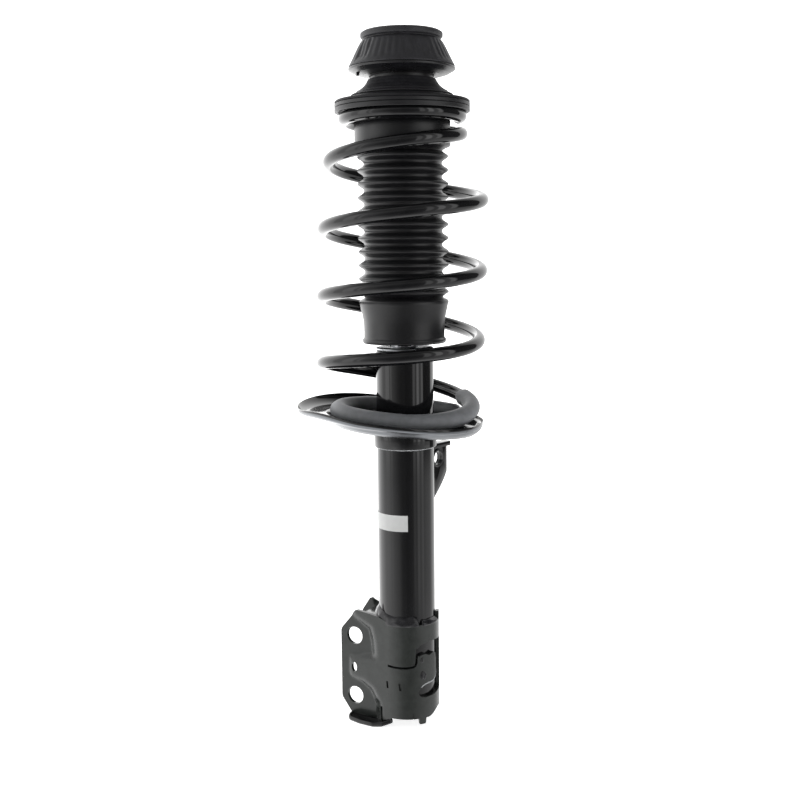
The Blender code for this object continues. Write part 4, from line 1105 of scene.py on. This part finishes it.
def make_window_parts():
    """Puckered spot welds on the tongue, and a rolled edge along its foot, coloured light grey as a painted
    highlight.
    """
    line = [(61.6, 42), (61.4, 37.5), (59, 34.2), (55, 32.2), (50, 31.2), (41, 30.8), (33, 30.2), (27, 28.8)]
    line.append((22.5, 27))
    sections = []
    for i, (heading, z) in enumerate(line):
        size = 0.55 if i in (0, len(line) - 1) else 0.95
        sections.append([around(heading, 26.6 + size * c, z + size * s) for c, s in circle(12)])
    # The rolled edge is light grey: a painted highlight along the tongue's foot
    piece("window_rolled_edge", *lofted(sections), painted_highlight_edge, *COATED, (), 60)

    face_r = 27.2
    to_heading = 57.3 / 27.3  # degrees for each mm along the face
    for number, (heading, z, wide, tall) in enumerate(SPOT_WELDS):
        rings = []
        for j in range(1, 8):
            polar = math.pi * j / 8
            loop = []
            for c, s in circle(18):
                lump = 1 + 0.22 * noise.noise(Vector((c * 1.7, s * 1.7, j * 0.8 + number * 5)))
                step = math.sin(polar) * lump
                across = wide * step * c * to_heading
                loop.append(around(heading + across, face_r + 1.1 * math.cos(polar), z + tall * step * s))
            rings.append(loop)
        piece(f"spot_weld_{number + 1}", *lofted(rings), weld_enamel, *COATED, (), 60)


make_window_parts()


def fillet_weld(name, heading_from, heading_to, height):
    """A lumpy weld filling the corner between the wrap's top edge and the tube."""
    count = int((heading_to - heading_from) / 1.2)
    sections = []
    for i in range(count + 1):
        t = i / count
        heading = heading_from + (heading_to - heading_from) * t
        ends = min(1.0, min(t, 1 - t) * count / 4 + 0.1)
        tall = height + 5.0 * smooth(-30, -80, heading) - 1.5 * smooth(10, 50, heading)
        uneven = 0.16 * noise.noise(Vector((heading * 0.06, height, 1.3)))
        tall *= ends * (1 + 0.03 * math.sin(heading * 0.16) + uneven)
        loop = []
        for k in range(15):
            u = k / 14
            bulge = 1.5 * math.sin(math.pi * u) ** 0.8 * ends
            lump = 0.5 * noise.noise(Vector((heading * 0.07, u * 3.0, 4.0)))
            lump += 0.12 * math.sin(heading * 0.34 + u * 5)
            radius = TUBE_R + 3.2 - 3.0 * u + bulge + lump * ends * math.sin(math.pi * u)
            loop.append(around(heading, radius, WRAP_TOP - 1.2 + (tall + 1.2) * u))
        loop += [around(heading, TUBE_R - 0.4, WRAP_TOP + tall * u) for u in (0.9, 0.5, 0.1)]
        sections.append(loop)
    return piece(name, *lofted(sections), weld_enamel, *COATED, (), 70)


def make_bracket_trim():
    half = SHEET / 2
    edge_c = FLANGE_C + 11.5
    shape = [
        (FLANGE_REACH - 9, FLANGE_C - 0.8), (FLANGE_REACH - 9.4, FLANGE_C + 5), (FLANGE_REACH - 11.5, edge_c)
    ]
    shape += [(30, edge_c + 1.8), (18, edge_c + 2.6), (9, edge_c + 0.6), (2.5, WRAP_R + 1.6)]
    clear = TUBE_R + FIT + 0.5
    shape += [(w, math.sqrt(clear**2 - w**2)) for w in (1, 5, 9, 13, 16)] + [(22, FLANGE_C - 0.8)]
    outline = eased([Vector(p) for p in shape], [1, 4, 5, 8, 8, 4, 2, 0.5, 0.5, 0.5, 0.5, 0.5, 1])
    middle = Vector((26.0, FLANGE_C + 4.0))
    sections = []
    for z, inset in (
        (-8.6, 0.9), (-8.2, 0.35), (-7.6, 0.0), (-5.6, 0.0), (-4.9, 0.3), (-4.6, 0.9), (-5.3, 2.2),
        (-5.5, 3.4),
    ):
        loop = []
        for p in outline:
            at = Vector(p)
            pull = (middle - at).normalized() * inset
            w, c = at + pull
            sag = 1.6 * smooth(30, 47, w) + 4.2 * smooth(15, 0, w) - 0.4
            loop.append(flange_point(w, c, z + sag))
        sections.append(loop)
    piece("bracket_foot_lip", *lofted(sections), tube_enamel, *COATED, (), 50)

    ear = [(WRAP_TOP - 2, 79, 97), (WRAP_TOP + 4.6, 80, 96), (WRAP_TOP + 6, 81.5, 94)]
    curved_panel("wrap_ear", ear, 24.4, WRAP_R + half)
    nub = [(-4.6, 22, 33.5), (-3.8, 20.8, 35), (0.2, 20, 36), (1.6, 20, 36)]
    curved_panel("wrap_nub", nub, 24.6, WRAP_R + half - 0.3)

    fillet_weld("wrap_weld_front", -98, 24, 6.8)
    fillet_weld("wrap_weld_side", 26, 74, 5.0)
    fillet_weld("wrap_weld_back", 104, 222, 6.0)

    start = TUBE_R + FIT + 0.6
    web, top, low_z, inner_half = 27.5, 82.8, 1.5, 33.0 / 2 - FIT
    under = top - SHEET
    shape = [
        (web, low_z), (web + 3, low_z), (web + 3, under), (web + 11, under), (web + 11, top), (start, top)
    ]
    shape += [(start, under), (web, under)]
    outline = eased([Vector(p) for p in shape], [0.4, 0.4, 2.5, 1.2, 1.2, 0.4, 0.4, 2.5])
    sections = [[flange_point(w, c, z) for w, z in outline] for c in (-inner_half, inner_half)]
    piece("bracket_inner_plate", *lofted(sections), bracket_coat, *COATED, ["bracket_insert"], 40)

    half_shelf = [(38.6, 0), (38.6, 16.4), (36, 17.6), (30, 19.6), (22, 20.8), (14, 22.0), (8, 23.6)]
    clear = TUBE_R + 0.4
    half_shelf += [(w, math.sqrt(clear**2 - w**2)) for w in (8.5, 13, 17, 20.5, 23)] + [(clear, 0)]
    shelf = [(w, c) for w, c in half_shelf] + [(w, -c) for w, c in half_shelf[-2:0:-1]]
    sections = []
    for z, inset in ((79.4, 0.4), (79.8, 0.0), (82.4, 0.0), (82.9, 0.5)):
        sections.append([flange_point(w + (27 - w) * inset / 14, c * (1 - inset / 16), z) for w, c in shelf])
    piece("bracket_shelf", *lofted(sections), bracket_coat, *COATED, (), 40)


make_bracket_trim()


# ---------------------------------------------------------------- stabilizer link bracket


def make_link_bracket():
    """An upright plate behind the tube, with a flange bent over its top and a round hole with a collar."""
    start, reach, height, straight = TUBE_R + FIT + 0.2, 57.0, 56.0, 0.45
    hole_x, hole_y, hole_r = 43, -12, 6.4
    edge = [(start, 0.2), (reach - 1, 0.2), (reach, -1), (reach, -height * straight)]
    for i in range(1, 12):
        t = i / 12
        edge.append((reach - (reach - start - 3) * i / 12, -height * (straight + (1 - straight) * t**0.8)))
    edge += [(start + 3, -height), (start, -height)]
    turn_to = Matrix.Rotation(math.radians(142.0 - 90), 4, "Z")
    across = turn_to @ Matrix.Rotation(math.radians(90), 4, "X")
    lift = Matrix.Translation((0, 0, LINK_TOP - 2))

    def slab(name, outline, half, matrix):
        return solid(name, *lofted([[matrix @ Vector((x, y, z)) for x, y in outline] for z in (-half, half)]))

    plate = slab("stabilizer_link_plate", edge, 2, lift @ across)
    hole = [(hole_x + hole_r * c, hole_y + hole_r * s) for c, s in circle(40)]
    cut_away(plate, [slab("link hole", hole, 5, lift @ across)], edge=0.5)
    as_piece(plate, tube_enamel, *PAINTED, ["stabilizer_link_bracket"], 40)
    shelf = [Vector(p) for p in ((start + 0.4, 2), (reach, 2), (reach, -7), (start + 0.4, -7))]
    flange = slab("link_top_flange", eased(shelf, [0.5, 0.8, 2.5, 0.5]), 2, lift @ turn_to)
    cut_away(flange, [], edge=0.7)
    as_piece(flange, tube_enamel, *PAINTED, (), 40)
    collar = [(hole_r, -3.2), (7.6, -3.2), (8.0, -2.8), (8.0, 2.8), (7.6, 3.2), (hole_r, 3.2)]
    ring = []
    for c, s in circle(48):
        loop = [Vector((hole_x + radius * c, hole_y + radius * s, depth)) for radius, depth in collar]
        ring.append([tuple(lift @ across @ at) for at in loop])
    piece("link_hole_collar", *lofted(ring, closed=True), tube_enamel, *PAINTED, (), 40)


make_link_bracket()


# ---------------------------------------------------------------- label


def make_label():
    """A blank film wrapped part of the way round the tube."""
    sections = []
    first, last, count = -130.0, 3.0, 60
    inner = TUBE_R + 0.12
    outer = inner + 0.12
    strip = [(inner, LABEL_LOW), (outer, LABEL_LOW), (outer, LABEL_HIGH), (inner, LABEL_HIGH)]
    for i in range(count + 1):
        heading = first + (last - first) * i / count
        sections.append([around(heading, radius, z) for radius, z in strip])
    piece("label", *lofted(sections), label_film, "strut", "label_film", ["blank_label"])


make_label()


# ---------------------------------------------------------------- camera, light and floor


# Brightness of the studio's walls at this many degrees away from the point straight in front
WALL_GLOW = [
    (0, 0.14), (18, 0.16), (30, 0.26), (45, 0.52), (60, 0.8), (75, 0.95), (90, 1.15), (110, 1.5), (130, 1.9),
    (180, 2.1),
]

# Softboxes and a black flag at the sides, as first heading, last heading and brightness
PANELS = [(-102, -84, 1.3), (-84, -66, 1.9), (-60, -55, 1.6), (31, 40, 1.2), (40, 47, 0.6), (47, 57, 2.0)]
PANELS += [(57, 67, 0.8), (67, 75, 1.6), (77, 122, 0.12)]


def wall_glow(way, ahead):
    away = math.degrees(way.angle(ahead))
    for (a0, g0), (a1, g1) in zip(WALL_GLOW, WALL_GLOW[1:]):
        if away <= a1:
            break
    glow = g0 + (g1 - g0) * min((away - a0) / (a1 - a0), 1.0)
    lift = math.degrees(math.asin(max(-1.0, min(1.0, way.z))))
    heading = math.degrees(math.atan2(way.x, -way.y))
    glow *= 1.3 if heading < 0 else 1 - 0.3 * smooth(85, 110, heading)
    for first, last, brightness in PANELS:
        if first <= heading <= last:
            glow += (brightness - glow) * (0.72 * smooth(-13, -8, lift) + 0.28 * smooth(-26, -20, lift))
    glow *= 1 - 0.72 * smooth(26, 60, lift)
    glow += 0.3 * smooth(-12, -32, heading) * smooth(-130, -100, heading) * smooth(-11, -18, lift)
    left = smooth(-20, -45, heading) * smooth(-120, -90, heading)
    below = smooth(44 - 24 * left, 66 - 24 * left, -lift)
    return glow * (1 - below) + 1.7 * below


DOME_R = 3.4  # metres


def make_light_dome():
    """The studio's walls and ceiling: dim in front and above, bright at the sides and behind."""
    made, tree = new_finish("studio walls")
    glow = add(tree, "ShaderNodeAttribute", attribute_name="glow")
    shader = add(tree, "ShaderNodeEmission", {"Strength": glow.outputs["Fac"]})
    add(tree, "ShaderNodeOutputMaterial", {"Surface": shader.outputs["Emission"]})
    ahead = Vector((0, -1, 0))
    points, faces, glows = [], [], []
    rows, columns = 120, 288
    for i in range(rows + 1):
        lift = math.radians(-90 + 180 * i / rows)
        for j in range(columns + 1):
            heading = math.radians(-180 + 360 * j / columns)
            way = Vector(
                (math.sin(heading) * math.cos(lift), -math.cos(heading) * math.cos(lift), math.sin(lift))
            )
            glows.append(wall_glow(way, ahead))
            points.append(way * DOME_R + Vector((0, 0, 0.3)))
    for i in range(rows):
        for j in range(columns):
            a = i * (columns + 1) + j
            faces.append((a, a + 1, a + columns + 2, a + columns + 1))
    mesh = bpy.data.meshes.new("light dome")
    mesh.from_pydata(points, [], faces)
    mesh.attributes.new("glow", "FLOAT", "POINT").data.foreach_set("value", glows)
    mesh.materials.append(made)
    dome = bpy.data.objects.new("light dome", mesh)
    bpy.context.scene.collection.objects.link(dome)
    dome.visible_camera = False


WHITE = (1.0, 1.0, 1.0, 1.0)
SKY_STRENGTH = 2.0

# Metres
FLOOR_HALF = 14.0
FLOOR_LEVEL = -0.0085
CAMERA_PLACE = (-0.0042, -1.0005, 0.39475)


def make_studio():
    camera_data = bpy.data.cameras.new("camera")
    camera_data.lens = 54.0
    camera_data.sensor_width = 36.0
    camera_data.clip_end = 60.0
    camera = bpy.data.objects.new("camera", camera_data)
    bpy.context.scene.collection.objects.link(camera)
    pitch, roll = math.radians(90 - 7.125), math.radians(-0.6)
    place = Matrix.Translation(CAMERA_PLACE)
    camera.matrix_world = place @ Matrix.Rotation(pitch, 4, "X") @ Matrix.Rotation(roll, 4, "Z")
    bpy.context.scene.camera = camera

    ground = bpy.data.meshes.new("floor")
    corners = ((-1, -1), (1, -1), (1, 1), (-1, 1))
    ground.from_pydata(
        [(FLOOR_HALF * x, FLOOR_HALF * y, FLOOR_LEVEL) for x, y in corners], [], [(0, 1, 2, 3)]
    )
    white, tree = new_finish("studio floor")
    pale = {
        "Base Color": (0.9, 0.9, 0.9, 1.0), "Roughness": 0.9, "Emission Color": WHITE,
        "Emission Strength": 0.8,
    }
    shader = add(tree, "ShaderNodeBsdfPrincipled", pale)
    add(tree, "ShaderNodeOutputMaterial", {"Surface": shader.outputs["BSDF"]})
    ground.materials.append(white)
    floor = bpy.data.objects.new("floor", ground)
    bpy.context.scene.collection.objects.link(floor)
    floor.visible_glossy = False

    world = bpy.data.worlds.new("studio")
    bpy.context.scene.world = world
    world.use_nodes = True
    sky = world.node_tree.nodes["Background"]
    sky.inputs["Color"].default_value = WHITE
    sky.inputs["Strength"].default_value = SKY_STRENGTH
    make_light_dome()

    bpy.context.scene.view_settings.view_transform = "Standard"


make_studio()
